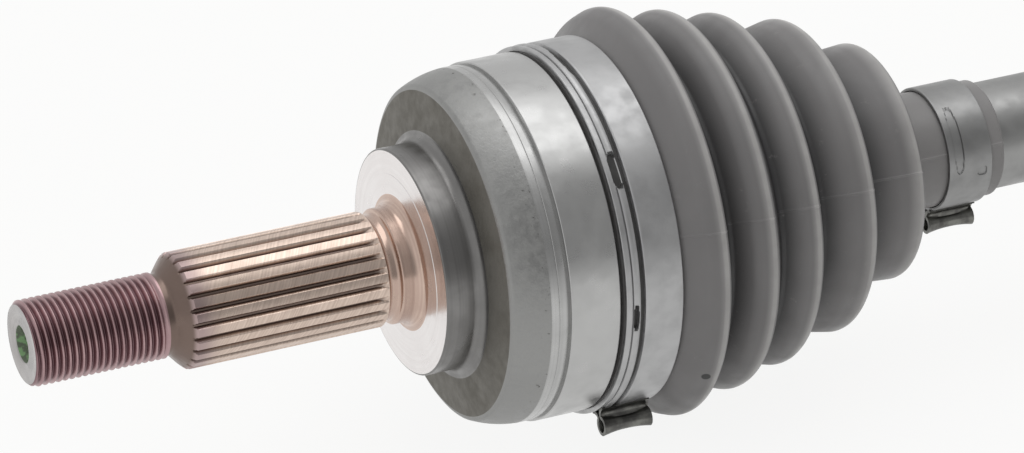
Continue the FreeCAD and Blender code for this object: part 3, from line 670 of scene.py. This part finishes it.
def spline_radius(x, r, angle):
    """Radius of the splined stretch: V grooves that run out through the cone and end in points."""
    if x < NECK_END_X:
        return r
    share = abs(((angle - math.radians(SPLINE_TURN)) * SPLINE_TEETH / math.tau + 0.5) % 1 - 0.5)
    rise = (share - SPLINE_ROOT_HALF) / (SPLINE_TIP_HALF - SPLINE_ROOT_HALF)
    worn = SPLINE_EDGE_DROP * max(0, 1 - abs(share - SPLINE_TIP_HALF) / SPLINE_EDGE)
    groove = SPLINE_TIP_R - SPLINE_DEPTH * (1 - min(1, max(0, rise))) - worn
    left = min(1, (SPLINE_END_X - x) / SPLINE_RUNOUT) ** SPLINE_RUNOUT_POWER
    return min(r, max(groove, SPLINE_TIP_R - SPLINE_DEPTH * left))


def hub_spline():
    """Neck, cone and splined stretch, in rows close enough for the grooves' ends."""
    cone_end = SPLINE_X - 0.4, SPLINE_TIP_R - 0.5
    neck = rounded([(THREAD_END_X, NECK_R), (NECK_END_X, NECK_R, NECK_ROUND), cone_end])[:-1]
    root_r = SPLINE_TIP_R - SPLINE_DEPTH
    lifts = [CONE_LENGTH * index / CONE_ROWS for index in range(CONE_ROWS + 1)]
    cone = [(SPLINE_X - CONE_LENGTH + lift, root_r - CONE_SINK + lift) for lift in lifts]
    teeth = [SPLINE_X + CONE_EDGE] + [SPLINE_X + SPLINE_ROW_STEP * row for row in range(1, SPLINE_ROWS + 1)]
    left = [1 - index / SPLINE_RUNOUT_ROWS for index in range(SPLINE_RUNOUT_ROWS + 1)]
    teeth += [SPLINE_END_X - SPLINE_RUNOUT * share for share in left]
    steps = [(THREAD_END_X, 0)] + neck + cone + [(x, SPLINE_TIP_R) for x in teeth] + [(SPLINE_END_X, 0)]
    zones = [(spline_metal(), steps)]
    return turned("hub_spline", zones, spline_angles(), spline_radius, sharp=SPLINE_SHARP_ANGLE)


def bell_piece():
    """Relief, pilot ring, hub face, boss and bell outside, joined to the solid's own ball socket."""
    fillet = PILOT_FILLET * math.sin(math.radians(45))
    boss = BOSS_FILLET * math.sin(math.radians(45))
    pilot = [
        (SPLINE_END_X, 0),
        (SPLINE_END_X, SPLINE_TIP_R - 0.25),
        (SPLINE_END_X + 0.8, RELIEF_R + 0.2, SPLINE_END_X + 1.8, RELIEF_R),
        (PILOT_X - 1.0, RELIEF_R),
        (PILOT_X - 0.3, RELIEF_R + 0.5, PILOT_X, PILOT_R - 0.4),
        (PILOT_X + 0.4, PILOT_R),
        (-PILOT_FILLET, PILOT_R),
        (-PILOT_FILLET + fillet, PILOT_R + PILOT_FILLET - fillet, 0, PILOT_R + PILOT_FILLET),
    ]
    face = [(0, FACE_STEP_R), (FACE_RAISE, FACE_STEP_R + 0.15), (FACE_RAISE, BOSS_R - 0.5)]
    side = [
        (0.3, BOSS_R - 0.12, 0.6, BOSS_R),
        (BOSS_LENGTH - BOSS_FILLET, BOSS_R),
        (BOSS_LENGTH - BOSS_FILLET + boss, BOSS_R + BOSS_FILLET - boss, BOSS_LENGTH, BOSS_R + BOSS_FILLET),
    ]
    back = [(BACK_X - 0.1, BACK_EDGE_R - 0.9)]
    forged = [
        (BACK_X + 0.15, BACK_EDGE_R - 0.2, BACK_X + 0.6, BACK_EDGE_R + 0.5),
        (BACK_X + 5.0, BACK_EDGE_R + 2.2, BAND_X - 0.6, BAND_R - 0.06),
    ]
    band = [
        (BAND_X, BAND_R),
        (BAND_LINE_X, BAND_R),
        (BAND_LINE_X + 0.15, BAND_R - 0.12),
        (BAND_LINE_X + 0.3, BAND_R),
        (GROOVE_X, BAND_R),
        (GROOVE_X + 0.9, BAND_R - 0.25, RIM_X - 0.25, GROOVE_R),
        (RIM_X, GROOVE_R),
    ]
    rim = [
        (RIM_X, RIM_R - 0.35),
        (RIM_X + 0.1, RIM_R - 0.1, RIM_X + 0.35, RIM_R),
        (SEAT_X - 0.5, RIM_R),
        (SEAT_X - 0.15, RIM_R - 0.15, SEAT_X, RIM_R - 0.5),
        (SEAT_X, SEAT_R),
        (MOUTH_X - MOUTH_EDGE, SEAT_R),
    ]
    zones = [
        (pilot_metal(), pilot), (face_metal(), face), (boss_metal(), side), (back_metal(), back),
        (forged_metal(), forged), (band_metal(), band), (rim_metal(), rim)]
    bell = turned("bell", zones, capped=False)
    add_socket(bell, len(zones) - 1)
    return bell


def in_socket(face):
    """Whether a face of the forging's solid belongs to the ball socket or the bell's mouth."""
    centre = face.calc_center_median() / MM
    if centre.x > MOUTH_X - SOCKET_PLAY:
        return True
    inward = Vector((OUTER_CENTRE_X, 0, 0)) - centre
    return centre.x > SOCKET_FLOOR_X - SOCKET_PLAY and face.normal.dot(inward) > 0


def add_socket(bell, slot):
    """Adds the socket and tracks of the solid to the bell and closes the ring between them."""
    source = bmesh.new()
    source.from_mesh(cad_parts["wheel_stub_housing"].data)
    bmesh.ops.remove_doubles(source, verts=source.verts, dist=1e-7)
    outside = [face for face in source.faces if not in_socket(face)]
    bmesh.ops.delete(source, geom=outside, context="FACES")
    bm = bmesh.new()
    bm.from_mesh(bell.data)
    places = {}
    for vert in source.verts:
        places[vert.index] = bm.verts.new(vert.co)
    for face in source.faces:
        fresh = bm.faces.new([places[vert.index] for vert in face.verts])
        fresh.material_index = slot
        fresh.smooth = True
    source.free()
    mouth = (MOUTH_X - MOUTH_EDGE - SOCKET_PLAY) * MM
    open_edges = [edge for edge in bm.edges if edge.is_boundary and edge.verts[0].co.x > mouth]
    bmesh.ops.bridge_loops(bm, edges=open_edges)
    bmesh.ops.recalc_face_normals(bm, faces=bm.faces)
    bm.to_mesh(bell.data)
    bm.free()
    bell.data.set_sharp_from_angle(angle=math.radians(SHARP_ANGLE))


def rubber():
    """Moulded boot material: dull grey, with painted shade in its folds and a painted highlight on the
    crests, which are also smoother.
    """
    finish = Finish("rubber", 0.42, 0.0)
    mark = finish.nodes.new("ShaderNodeAttribute")
    mark.attribute_name = "painted_light"
    painted_light = mark.outputs["Fac"]
    cloud = finish.noise(38.0, 4.0)
    flank = finish.mix(cloud, (0.150, 0.145, 0.146), (0.205, 0.198, 0.196))
    # Painted shade: near black in the valleys, rising to the flank's grey up the near flank.
    valley_shade = finish.mix(finish.steps(painted_light, 0.0, 0.5), (0.032, 0.031, 0.032), flank)
    # Painted highlight: the crests are coloured light grey.
    crest_highlight = finish.mix(finish.noise(160.0, 3.0), (0.30, 0.29, 0.285), (0.42, 0.41, 0.40))
    tone = finish.mix(finish.steps(painted_light, 0.60, 1.0), valley_shade, crest_highlight)
    dust = finish.steps(finish.noise(260.0, 5.0, 0.7), 0.62, 0.78)
    dusty = finish.mix(finish.sum("MULTIPLY", dust, 0.5), tone, (0.26, 0.25, 0.24))
    # Painted shade: a small dimple, not modelled, is drawn as a near-black spot.
    dimple_shade = finish.near(at(*DIMPLE_PLACE[:2], math.radians(DIMPLE_PLACE[2])), DIMPLE_R)
    finish.colour(dimple_shade, dusty, (0.008, 0.008, 0.008))
    wear = finish.steps(finish.noise(120.0, 4.0), 0.3, 0.7, 0.40, 0.55)
    finish.rough(finish.sum("SUBTRACT", wear, finish.steps(painted_light, 0.5, 1.0, 0.0, 0.12)))
    finish.bump(finish.noise(2200.0, 3.0), 0.02)
    return finish.material


def band_steel(name, light, dark):
    """Rolled steel of a clamp's band, dulled in patches."""
    finish = Finish(name, 0.44)
    finish.lathe(0.002)
    dull = finish.steps(finish.noise(90.0, 5.0), 0.35, 0.80)
    finish.colour(dull, light, dark)
    return finish.material


def ear_metal():
    """Dark, oily steel of a crimped ear."""
    finish = Finish("ear_metal", 0.35)
    stain = finish.steps(finish.noise(260.0, 4.0), 0.35, 0.65)
    finish.colour(stain, (0.10, 0.098, 0.094), (0.20, 0.20, 0.185))
    finish.rough(finish.steps(finish.noise(500.0, 4.0), 0.3, 0.7, 0.28, 0.42))
    return finish.material


def window_shade():
    finish = Finish("window_shade", 0.5, 0.3)
    # Painted shade, near black and mottled, for the sunk floors of a clamp's band.
    shade_mottle = finish.noise(300.0, 4.0)
    finish.colour(shade_mottle, (0.02, 0.02, 0.02), (0.07, 0.068, 0.066))
    return finish.material


def sunk(corners, depth, side):
    """Inner corners of the surface at an even depth inside a wall. Its rounds stay concentric."""
    moved = []
    for before, corner, after in zip(corners, corners[1:], corners[2:]):
        come = (Vector(corner[:2]) - Vector(before[:2])).normalized()
        go = (Vector(after[:2]) - Vector(corner[:2])).normalized()
        first = Vector((come.y, -come.x)) * side
        second = Vector((go.y, -go.x)) * side
        place = Vector(corner[:2]) + (first + second) * (depth / (1 + first.dot(second)))
        crest = (come.y * go.x - come.x * go.y) * side > 0
        radius = corner[2] - depth if crest else corner[2] + depth
        moved.append((*place, max(radius, LOBE_LEAST_ROUND)))
    return moved


def lobe_corners(collar, lobes, valleys, foot, side):
    """Corners of the lobes' outline from the large collar's end to the small collar."""
    feet = [(x + side * LOBE_FALL, r) for (x, _), r in zip(lobes, valleys)]
    corners = [collar]
    for (crest_x, crest_r), (foot_x, foot_r) in zip(lobes, feet + [foot]):
        from_x, from_r = corners[-1][:2]
        shoulder_r = crest_r - (crest_r - from_r) * LOBE_SHOULDER_DROP
        corners.append(((from_x + crest_x) / 2, shoulder_r, LOBE_SHOULDER_ROUND))
        corners.append((crest_x, crest_r, LOBE_CREST_ROUND))
        corners.append((foot_x, foot_r, LOBE_VALLEY_ROUND))
    return corners


def boot_outline(lobes, valleys, collar, small, seat_r):
    """Closed outline of a boot, outside from the large collar to the small one and back inside."""
    side = math.copysign(1, small[0] - collar[1])
    collar_r = seat_r + LARGE_COLLAR_WALL
    corners = lobe_corners((collar[1], collar_r), lobes, valleys, (small[0], SMALL_COLLAR_R), side)
    corners.append((small[1] - side * SMALL_COLLAR_EDGE, SMALL_COLLAR_R))
    outside = [(collar[0], collar_r - LARGE_COLLAR_EDGE), (collar[0] + side * LARGE_COLLAR_EDGE, collar_r)]
    outside += rounded(corners)
    outside.append((small[1], SMALL_COLLAR_R - SMALL_COLLAR_EDGE_DROP))
    inner = sunk(corners, BOOT_WALL, side)
    crest_x, crest_r, _ = inner[-2]
    foot_x, foot_r, _ = inner[-1]
    share = (crest_r - COLLAR_BORE_R) / (crest_r - foot_r)
    inner[-1] = (crest_x + (foot_x - crest_x) * share, COLLAR_BORE_R, LOBE_VALLEY_ROUND)
    inside = rounded([(collar[1], seat_r)] + inner + [(small[1], COLLAR_BORE_R)])
    return outline([(None, outside)])[0] + outline([(None, [(collar[0], seat_r)] + inside)])[0][::-1]


def between(place, stops):
    """Value at a place, in even slopes between stops of place and value."""
    for (low, first), (high, second) in zip(stops, stops[1:]):
        if place <= high:
            return first + (second - first) * max(0, place - low) / (high - low)
    return stops[-1][1]


def mark_painted_light(boot, lobes, side):
    """Stores the painted light and shade of each place of a boot: 1 for a painted highlight on a crest, a
    half on a near flank, 0 for painted shade in a valley.
    """
    crests = [x * side for x, _ in lobes]
    feet = [crest + LOBE_FALL for crest in crests]
    stops = [(crest + off, value) for crest in crests for off, value in PAINTED_LIGHT_AT_CREST]
    stops += [(foot + off, value) for foot in feet[:-1] for off, value in PAINTED_LIGHT_AT_FOOT]
    stops += [(feet[-1] + off, value) for off, value in PAINTED_LIGHT_AT_LAST_FOOT]
    stops.sort()
    lit_shares = [between(vert.co.x / MM * side, stops) for vert in boot.data.vertices]
    boot.data.attributes.new("painted_light", "FLOAT", "POINT").data.foreach_set("value", lit_shares)


def boot_angles():
    """Angles round a boot, closer together at the mould's two parting lines."""
    lines = [math.radians(PARTING_ANGLE), math.radians(PARTING_ANGLE + 180)]
    near = [math.radians(step * PARTING_STEP) for step in range(-PARTING_STEPS, PARTING_STEPS + 1)]
    close = [(line + part) % math.tau for line in lines for part in near]
    apart = math.radians(PARTING_CLEAR)
    even = [
        angle for angle in even_angles(ROUND)
        if all(abs((angle - line + math.pi) % math.tau - math.pi) > apart for line in lines)]
    return sorted(even + close)


def parting_ridge(x, r, angle):
    """Radius raised by the thin ridge that the two mould halves leave."""
    off = (angle - math.radians(PARTING_ANGLE) + math.pi / 2) % math.pi - math.pi / 2
    return r + PARTING_HEIGHT * math.exp(-(off * r / PARTING_WIDTH) ** 2)


def build_boots():
    """Outer boot, which lies across one joint, and the inboard one."""
    material = rubber()
    steps = boot_outline(OUTER_LOBES, OUTER_VALLEYS, OUTER_COLLAR, OUTER_SMALL_COLLAR, SEAT_R)
    outer = turned("outer_bellows", [(material, steps)], boot_angles(), parting_ridge, closed=True)
    mark_painted_light(outer, OUTER_LOBES, 1)
    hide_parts("outer_boot")
    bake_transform(outer)
    build_inner_boot(material)


def cut_outline(points, x, side):
    """Part of a closed outline on one side of x, with a point added wherever it crosses."""
    kept = []
    for here, there in zip(points, points[1:] + points[:1]):
        if (here[0] - x) * side >= 0:
            kept.append(here)
        if (here[0] - x) * (there[0] - x) < 0:
            share = (x - here[0]) / (there[0] - here[0])
            kept.append((x, here[1] + (there[1] - here[1]) * share))
    return kept


def build_inner_boot(material):
    """Inboard boot in two halves that meet in a valley, because it crosses two joints."""
    steps = boot_outline(INNER_LOBES, INNER_VALLEYS, INNER_COLLAR, INNER_SMALL_COLLAR, CUP_SEAT_R)
    meet = INNER_LOBES[INNER_SPLIT][0] - LOBE_FALL
    ends = INNER_SMALL_COLLAR[0], INNER_COLLAR[1]
    halves = (
        ("inner_bellows_cup_end", "inner_cage", "gearbox_cup", (meet, ends[1]), 1),
        ("inner_bellows_bar_end", "shaft", "inner_cage", (ends[0], meet), -1))
    for name, first, second, reach, side in halves:
        part = cut_outline(steps, meet, side)
        half = turned(name, [(material, part)], boot_angles(), parting_ridge, closed=True)
        mark_painted_light(half, INNER_LOBES, -1)
        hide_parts("inner_boot")
        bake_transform(half)


def groove_steps(outer_r, x_from):
    """Left part of a wide clamp: a narrow edge, a dark line, a raised tongue and a channel beside it."""
    line = [(x_from + across, outer_r - depth) for across, depth in CLAMP_LINE]
    places = range(TONGUE_STEPS + 1)
    heights = [TONGUE_RISE * index * (TONGUE_STEPS - index) - TONGUE_SINK for index in places]
    tongue = [
        (x_from + TONGUE_START + TONGUE_STEP * index, outer_r + height)
        for index, height in zip(places, heights)]
    channel = [(x_from + across, outer_r - depth) for across, depth in CLAMP_CHANNEL]
    through, depth = CHANNEL_ROUND
    channel.append((x_from + through, outer_r - depth, x_from + CHANNEL_END, outer_r))
    return line + tongue + channel


def clamp_steps(inner_r, wall, x_from, x_to, grooved):
    """Closed outline of a clamp band."""
    outer_r = inner_r + wall
    first, last = x_from + CLAMP_LEFT_ROUND, x_to - CLAMP_RIGHT_ROUND
    left = [(x_from, inner_r), (x_from, outer_r - 0.3), (x_from + 0.1, outer_r - 0.1, first, outer_r)]
    right = [(last, outer_r), (x_to - 0.15, outer_r - 0.1, x_to, outer_r - 0.4), (x_to, inner_r)]
    middle = groove_steps(outer_r, x_from) if grooved else []
    start = x_from + CHANNEL_END if grooved else first
    count = int((last - start) / CLAMP_STEP)
    fine = [(start + (last - start) * index / count, outer_r) for index in range(1, count)]
    return left + middle + fine + right


def clamp_angles(ear_angle, windows):
    """Angles round a clamp, closer together in and at its windows."""
    places = [math.degrees(angle) for angle in even_angles(ROUND)]
    for _, _, middle, half in windows:
        start, end = ear_angle + middle - half, ear_angle + middle + half
        span = end - start + 2 * WINDOW_CLEAR
        inner = [start + (end - start) * index / WINDOW_STEPS for index in range(WINDOW_STEPS + 1)]
        places = [place for place in places if not 0 < (place - start + WINDOW_CLEAR) % 360 < span]
        places += [place % 360 for place in inner + [start - WINDOW_EDGE, end + WINDOW_EDGE]]
    return [math.radians(place) for place in sorted(places)]


def in_window(x, angle, windows, ear_angle):
    """Whether a place lies in a window of a clamp. x runs from the band's edge, and angles are in degrees."""
    for low, high, middle, half in windows:
        off = abs((angle - ear_angle - middle + 180) % 360 - 180) / half
        if off > 1.0001:
            continue
        reach = (high - low) / 2 * math.sqrt(max(0, 1 - off ** 4))
        if abs(x - (low + high) / 2) <= reach + HAIR:
            return True
    return False


def clamp_band(name, material, dark, inner_r, wall, places, ear_angle, windows):
    """Band of a clamp, with its windows pressed in and a painted shade on its sunk floors."""
    grooved = wall > SMALL_CLAMP_WALL
    depth = wall - WINDOW_FLOOR if grooved else SMALL_WINDOW_DEPTH

    def shape(x, r, angle):
        if r < inner_r + HAIR or not in_window(x - places[0], math.degrees(angle), windows, ear_angle):
            return r
        return min(r, inner_r + wall - depth)

    steps = clamp_steps(inner_r, wall, *places, grooved)
    band = turned(name, [(material, steps)], clamp_angles(ear_angle, windows), shape, closed=True)
    band.data.materials.append(dark)
    # Painted shade: sunk floors low in the band, in the windows and the channel, take the near-black
    # material.
    for polygon in band.data.polygons:
        height = math.hypot(polygon.center.y, polygon.center.z) / MM - inner_r
        if DARK_LEAST < height < DARK_SHARE * wall and abs(polygon.normal.x) < 0.5:
            polygon.material_index = 1
    return band


def ear_outline(outer_r, spread):
    """Centre line of a crimped ear across the band: foot, pinched neck, round loop, and back down."""
    loop_r = EAR_ROUND * spread
    middle = outer_r + EAR_HEIGHT
    right = [(across, outer_r + rise) for across, rise in EAR_FOOT]
    shares = [index / EAR_LOOP_STEPS for index in range(EAR_LOOP_STEPS + 1)]
    turns = [math.radians(EAR_LOOP_START + EAR_LOOP_TURN * share) for share in shares]
    loop = [(loop_r * math.cos(turn), middle + loop_r * math.sin(turn)) for turn in turns]
    left = [(-across, r) for across, r in reversed(right)]
    return right + loop + left


def ear_section(outer_r, share):
    """Closed section of an ear at a place from -1 to 1 along it, as (distance across, r)."""
    spread = EAR_WAIST + EAR_FLARE * abs(share) ** EAR_FLARE_POWER
    path = [Vector(point) for point in ear_outline(outer_r, spread)]
    sides = []
    for before, after in zip([path[0]] + path[:-1], path[1:] + [path[-1]]):
        along = (after - before).normalized()
        sides.append(Vector((along.y, -along.x)) * EAR_WALL / 2)
    front = [point + side for point, side in zip(path, sides)]
    back = [point - side for point, side in zip(path, sides)]
    return front + back[::-1]


def ear_faces(size):
    """Faces between the rows of an ear, each of a size in points, and over both its ends."""
    faces = []
    for row in range(EAR_ROWS):
        for index in range(size):
            here, there = row * size + index, row * size + (index + 1) % size
            faces.append((here, there, there + size, here + size))
    for start in (0, EAR_ROWS * size):
        for index in range(size // 2 - 1):
            near, far = start + index, start + size - 1 - index
            faces.append((near, near + 1, far - 1, far))
    return faces


def ear(name, material, outer_r, x_middle, angle):
    """Crimped ear of a clamp, waisted where the pliers closed it and flared at both ends."""
    turn = math.radians(angle)
    outward = Vector((0, -math.cos(turn), -math.sin(turn)))
    sideways = Vector((0, math.sin(turn), -math.cos(turn)))
    points = []
    for row in range(EAR_ROWS + 1):
        share = 2 * row / EAR_ROWS - 1
        section = ear_section(outer_r, share)
        centre = Vector((x_middle + share * EAR_LENGTH / 2, 0, 0))
        points += [centre + outward * r + sideways * across for across, r in section]
    faces = ear_faces(len(section))
    return new_piece(name, points, faces, [0] * len(faces), [material], EAR_SHARP_ANGLE)


def clamp(end, size, body, inner_r, places, ear_angle, kind):
    """One clamp of a boot, as a band and its ear. Its kind gives the wall, the windows and the finishes."""
    wall, windows, (steel, dark) = kind
    name = f"{end}_clamp_{size}"
    band = clamp_band(name, steel, dark, inner_r, wall, places, ear_angle, windows)
    loop = ear(name + "_ear", ear_metal(), inner_r + wall, sum(places) / 2, ear_angle)
    for piece in (band, loop):
        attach(piece, body)
        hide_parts(f"{end}_boot_clamp_{size}")


def build_clamps():
    """The wide clamp and the thin one of each boot."""
    dark = window_shade()
    bright_steel = band_steel("bright_band_steel", (0.45, 0.45, 0.452), (0.39, 0.39, 0.392)), dark
    dull_steel = band_steel("dull_band_steel", (0.31, 0.31, 0.308), (0.26, 0.26, 0.258)), dark
    wide = LARGE_CLAMP_WALL, LARGE_WINDOWS, bright_steel
    thin = SMALL_CLAMP_WALL, SMALL_WINDOWS, dull_steel
    cup_r = CUP_SEAT_R + LARGE_COLLAR_WALL
    bar_r = SMALL_COLLAR_R + CLAMP_PLAY
    clamp("outer", "large", "wheel_stub", RIM_R, LARGE_CLAMP, LARGE_EAR_ANGLE, wide)
    clamp("outer", "small", "shaft", bar_r, SMALL_CLAMP, SMALL_EAR_ANGLE, thin)
    clamp("inner", "large", "gearbox_cup", cup_r, CUP_CLAMP, CUP_EAR_ANGLE, wide)
    clamp("inner", "small", "shaft", bar_r, INNER_SMALL_CLAMP, INNER_SMALL_EAR_ANGLE, thin)


def bar_metal():
    """Painted bar, with bare splined ends inside the joints."""
    finish = Finish("bar_metal", 0.42)
    finish.lathe()
    wheel_end = finish.along(BAR_PAINT_X, BAR_PAINT_X - PAINT_BLUR)
    gearbox_end = finish.along(BAR_PAINT_END_X, BAR_PAINT_END_X + PAINT_BLUR)
    paint = finish.mix(finish.noise(90.0, 4.0), (0.27, 0.27, 0.268), (0.36, 0.36, 0.355))
    bare = finish.sum("MAXIMUM", wheel_end, gearbox_end)
    finish.colour(bare, paint, (0.50, 0.49, 0.47))
    return finish.material


def cup_metal():
    """Cup forging with a ground seal journal and a dull splined stub."""
    finish = Finish("cup_metal", 0.42)
    finish.bump(finish.turning(), LATHE_DEPTH)
    scale = finish.noise(330.0, 6.0, 0.65)
    forged = finish.mix(finish.steps(scale, 0.35, 0.65), (0.28, 0.28, 0.275), (0.40, 0.40, 0.39))
    begun = finish.along(SEAL_X, SEAL_X + SEAL_BLUR)
    ended = finish.along(SEAL_END_X, SEAL_END_X - SEAL_BLUR)
    ground = finish.sum("MULTIPLY", begun, ended)
    splined = finish.along(CUP_SPLINE_X, CUP_SPLINE_X + SEAL_BLUR)
    bright = finish.mix(ground, forged, (0.62, 0.62, 0.61))
    finish.colour(splined, bright, (0.50, 0.40, 0.345))
    finish.rough(finish.steps(ground, 0.0, 1.0, 0.44, 0.18))
    unmachined = finish.sum("SUBTRACT", 1.0, finish.sum("MAXIMUM", ground, splined))
    finish.bump(finish.sum("MULTIPLY", scale, unmachined), 0.12)
    return finish.material


def race_metal():
    return turned_metal("race_metal", (0.46, 0.44, 0.41), (0.36, 0.345, 0.33), 0.30)


def cage_metal():
    return turned_metal("cage_metal", (0.24, 0.235, 0.23), (0.17, 0.165, 0.16), 0.38)


def ring_metal():
    return turned_metal("ring_metal", (0.30, 0.29, 0.28), (0.20, 0.195, 0.19), 0.35)


def ball_metal():
    finish = Finish("ball_metal", 0.06)
    haze = finish.noise(200.0, 3.0)
    finish.colour(haze, (0.68, 0.68, 0.68), (0.76, 0.76, 0.76))
    finish.rough(finish.steps(finish.noise(500.0, 4.0), 0.3, 0.7, 0.04, 0.10))
    return finish.material


def dress_nodes():
    """Gives each node of the solids that still shows a finish, by the first word that its name holds."""
    finishes = {
        "bar": bar_metal(), "cup": cup_metal(), "race": race_metal(), "cage": cage_metal(),
        "ball": ball_metal(), "circlip": ring_metal(), "ring": ring_metal()}
    for name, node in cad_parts.items():
        for word, material in finishes.items():
            if word in name and not node.hide_render:
                node.data.materials.clear()
                node.data.materials.append(material)
                break


def build_camera():
    """Camera at the photo's angle and frame."""
    azimuth, elevation = math.radians(VIEW_AZIMUTH), math.radians(VIEW_ELEVATION)
    flat = math.cos(elevation)
    back = Vector((math.sin(azimuth) * flat, -math.cos(azimuth) * flat, math.sin(elevation)))
    camera = bpy.data.objects.new("camera", bpy.data.cameras.new("camera"))
    camera.data.sensor_width = SENSOR
    camera.data.lens = LENS
    camera.location = (Vector(VIEW_TARGET) + back * VIEW_DISTANCE) * MM
    camera.rotation_mode = "QUATERNION"
    camera.rotation_quaternion = (-back).to_track_quat("-Z", "Y")
    bpy.context.scene.collection.objects.link(camera)
    bpy.context.scene.camera = camera


def seen_directly(nodes, links):
    """1 for what the camera, a gloss or a glass sees, and 0 for light that falls on a surface."""
    path = nodes.new("ShaderNodeLightPath")
    total = path.outputs["Is Camera Ray"]
    for name in ("Is Glossy Ray", "Is Transmission Ray"):
        node = nodes.new("ShaderNodeMath")
        node.operation = "MAXIMUM"
        links.new(total, node.inputs[0])
        links.new(path.outputs[name], node.inputs[1])
        total = node.outputs[0]
    return total


def mix_shaders(tree, share, first, second, output):
    """Feeds an output with two shaders mixed by a share."""
    blend = tree.nodes.new("ShaderNodeMixShader")
    for socket, value in zip(blend.inputs, (share, first.outputs[0], second.outputs[0])):
        tree.links.new(value, socket)
    tree.links.new(blend.outputs[0], tree.nodes[output].inputs["Surface"])


def build_floor():
    """Pale floor under the part's lowest point, which shows white and keeps a faint shadow."""
    material = bpy.data.materials.new("floor")
    material.use_nodes = True
    nodes, links = material.node_tree.nodes, material.node_tree.links
    shader = nodes["Principled BSDF"]
    shader.inputs["Base Color"].default_value = (0.86, 0.86, 0.855, 1)
    shader.inputs["Roughness"].default_value = 0.9
    glow = nodes.new("ShaderNodeEmission")
    glow.inputs["Color"].default_value = WHITE
    share = nodes.new("ShaderNodeMath")
    share.operation = "MULTIPLY"
    share.inputs[1].default_value = FLOOR_GLOW
    links.new(seen_directly(nodes, links), share.inputs[0])
    mix_shaders(material.node_tree, share.outputs[0], shader, glow, "Material Output")
    half = FLOOR_HALF * MM
    height = CAD_BOX[0].z - FLOOR_DROP * MM
    mesh = bpy.data.meshes.new("floor")
    corners = [(-half, -half, height), (half, -half, height), (half, half, height), (-half, half, height)]
    mesh.from_pydata(corners, [], [(0, 1, 2, 3)])
    mesh.materials.append(material)
    floor = bpy.data.objects.new("floor", mesh)
    bpy.context.scene.collection.objects.link(floor)


def build_world():
    """White to the camera. For light and gloss, a pale room that is darker at the camera's right."""
    world = bpy.data.worlds.new("room")
    bpy.context.scene.world = world
    world.use_nodes = True
    nodes, links = world.node_tree.nodes, world.node_tree.links
    sky = nodes["Background"]
    sky.inputs["Color"].default_value = (1, 1, 1, 1)
    place = nodes.new("ShaderNodeTexCoord")
    toward = nodes.new("ShaderNodeVectorMath")
    toward.operation = "DOT_PRODUCT"
    links.new(place.outputs["Generated"], toward.inputs[0])
    toward.inputs[1].default_value = Vector(DARK_SIDE).normalized()
    ramp = nodes.new("ShaderNodeMapRange")
    ramp.interpolation_type = "SMOOTHSTEP"
    ramp.inputs["From Min"].default_value, ramp.inputs["From Max"].default_value = DARK_SPAN
    ramp.inputs["To Min"].default_value = ROOM_LIGHT
    ramp.inputs["To Max"].default_value = DARK_SIDE_LIGHT
    links.new(toward.outputs["Value"], ramp.inputs["Value"])
    links.new(ramp.outputs[0], sky.inputs["Strength"])
    white = nodes.new("ShaderNodeBackground")
    white.inputs["Color"].default_value = WHITE
    path = nodes.new("ShaderNodeLightPath")
    mix_shaders(world.node_tree, path.outputs["Is Camera Ray"], sky, white, "World Output")


def build_light():
    """Wide, soft light from above and behind."""
    light = bpy.data.lights.new("overhead", "AREA")
    light.shape = "RECTANGLE"
    light.size, light.size_y = Vector(LIGHT_SIZE) * MM
    light.energy = LIGHT_POWER
    lamp = bpy.data.objects.new("overhead", light)
    lamp.location = Vector(LIGHT_PLACE) * MM
    lamp.rotation_mode = "QUATERNION"
    lamp.rotation_quaternion = (Vector(LIGHT_AIM) - Vector(LIGHT_PLACE)).to_track_quat("-Z", "Y")
    bpy.context.scene.collection.objects.link(lamp)


build_camera()
build_floor()
build_world()
build_light()
build_stub()
build_boots()
build_clamps()
dress_nodes()
bpy.context.scene.view_settings.view_transform = "Standard"
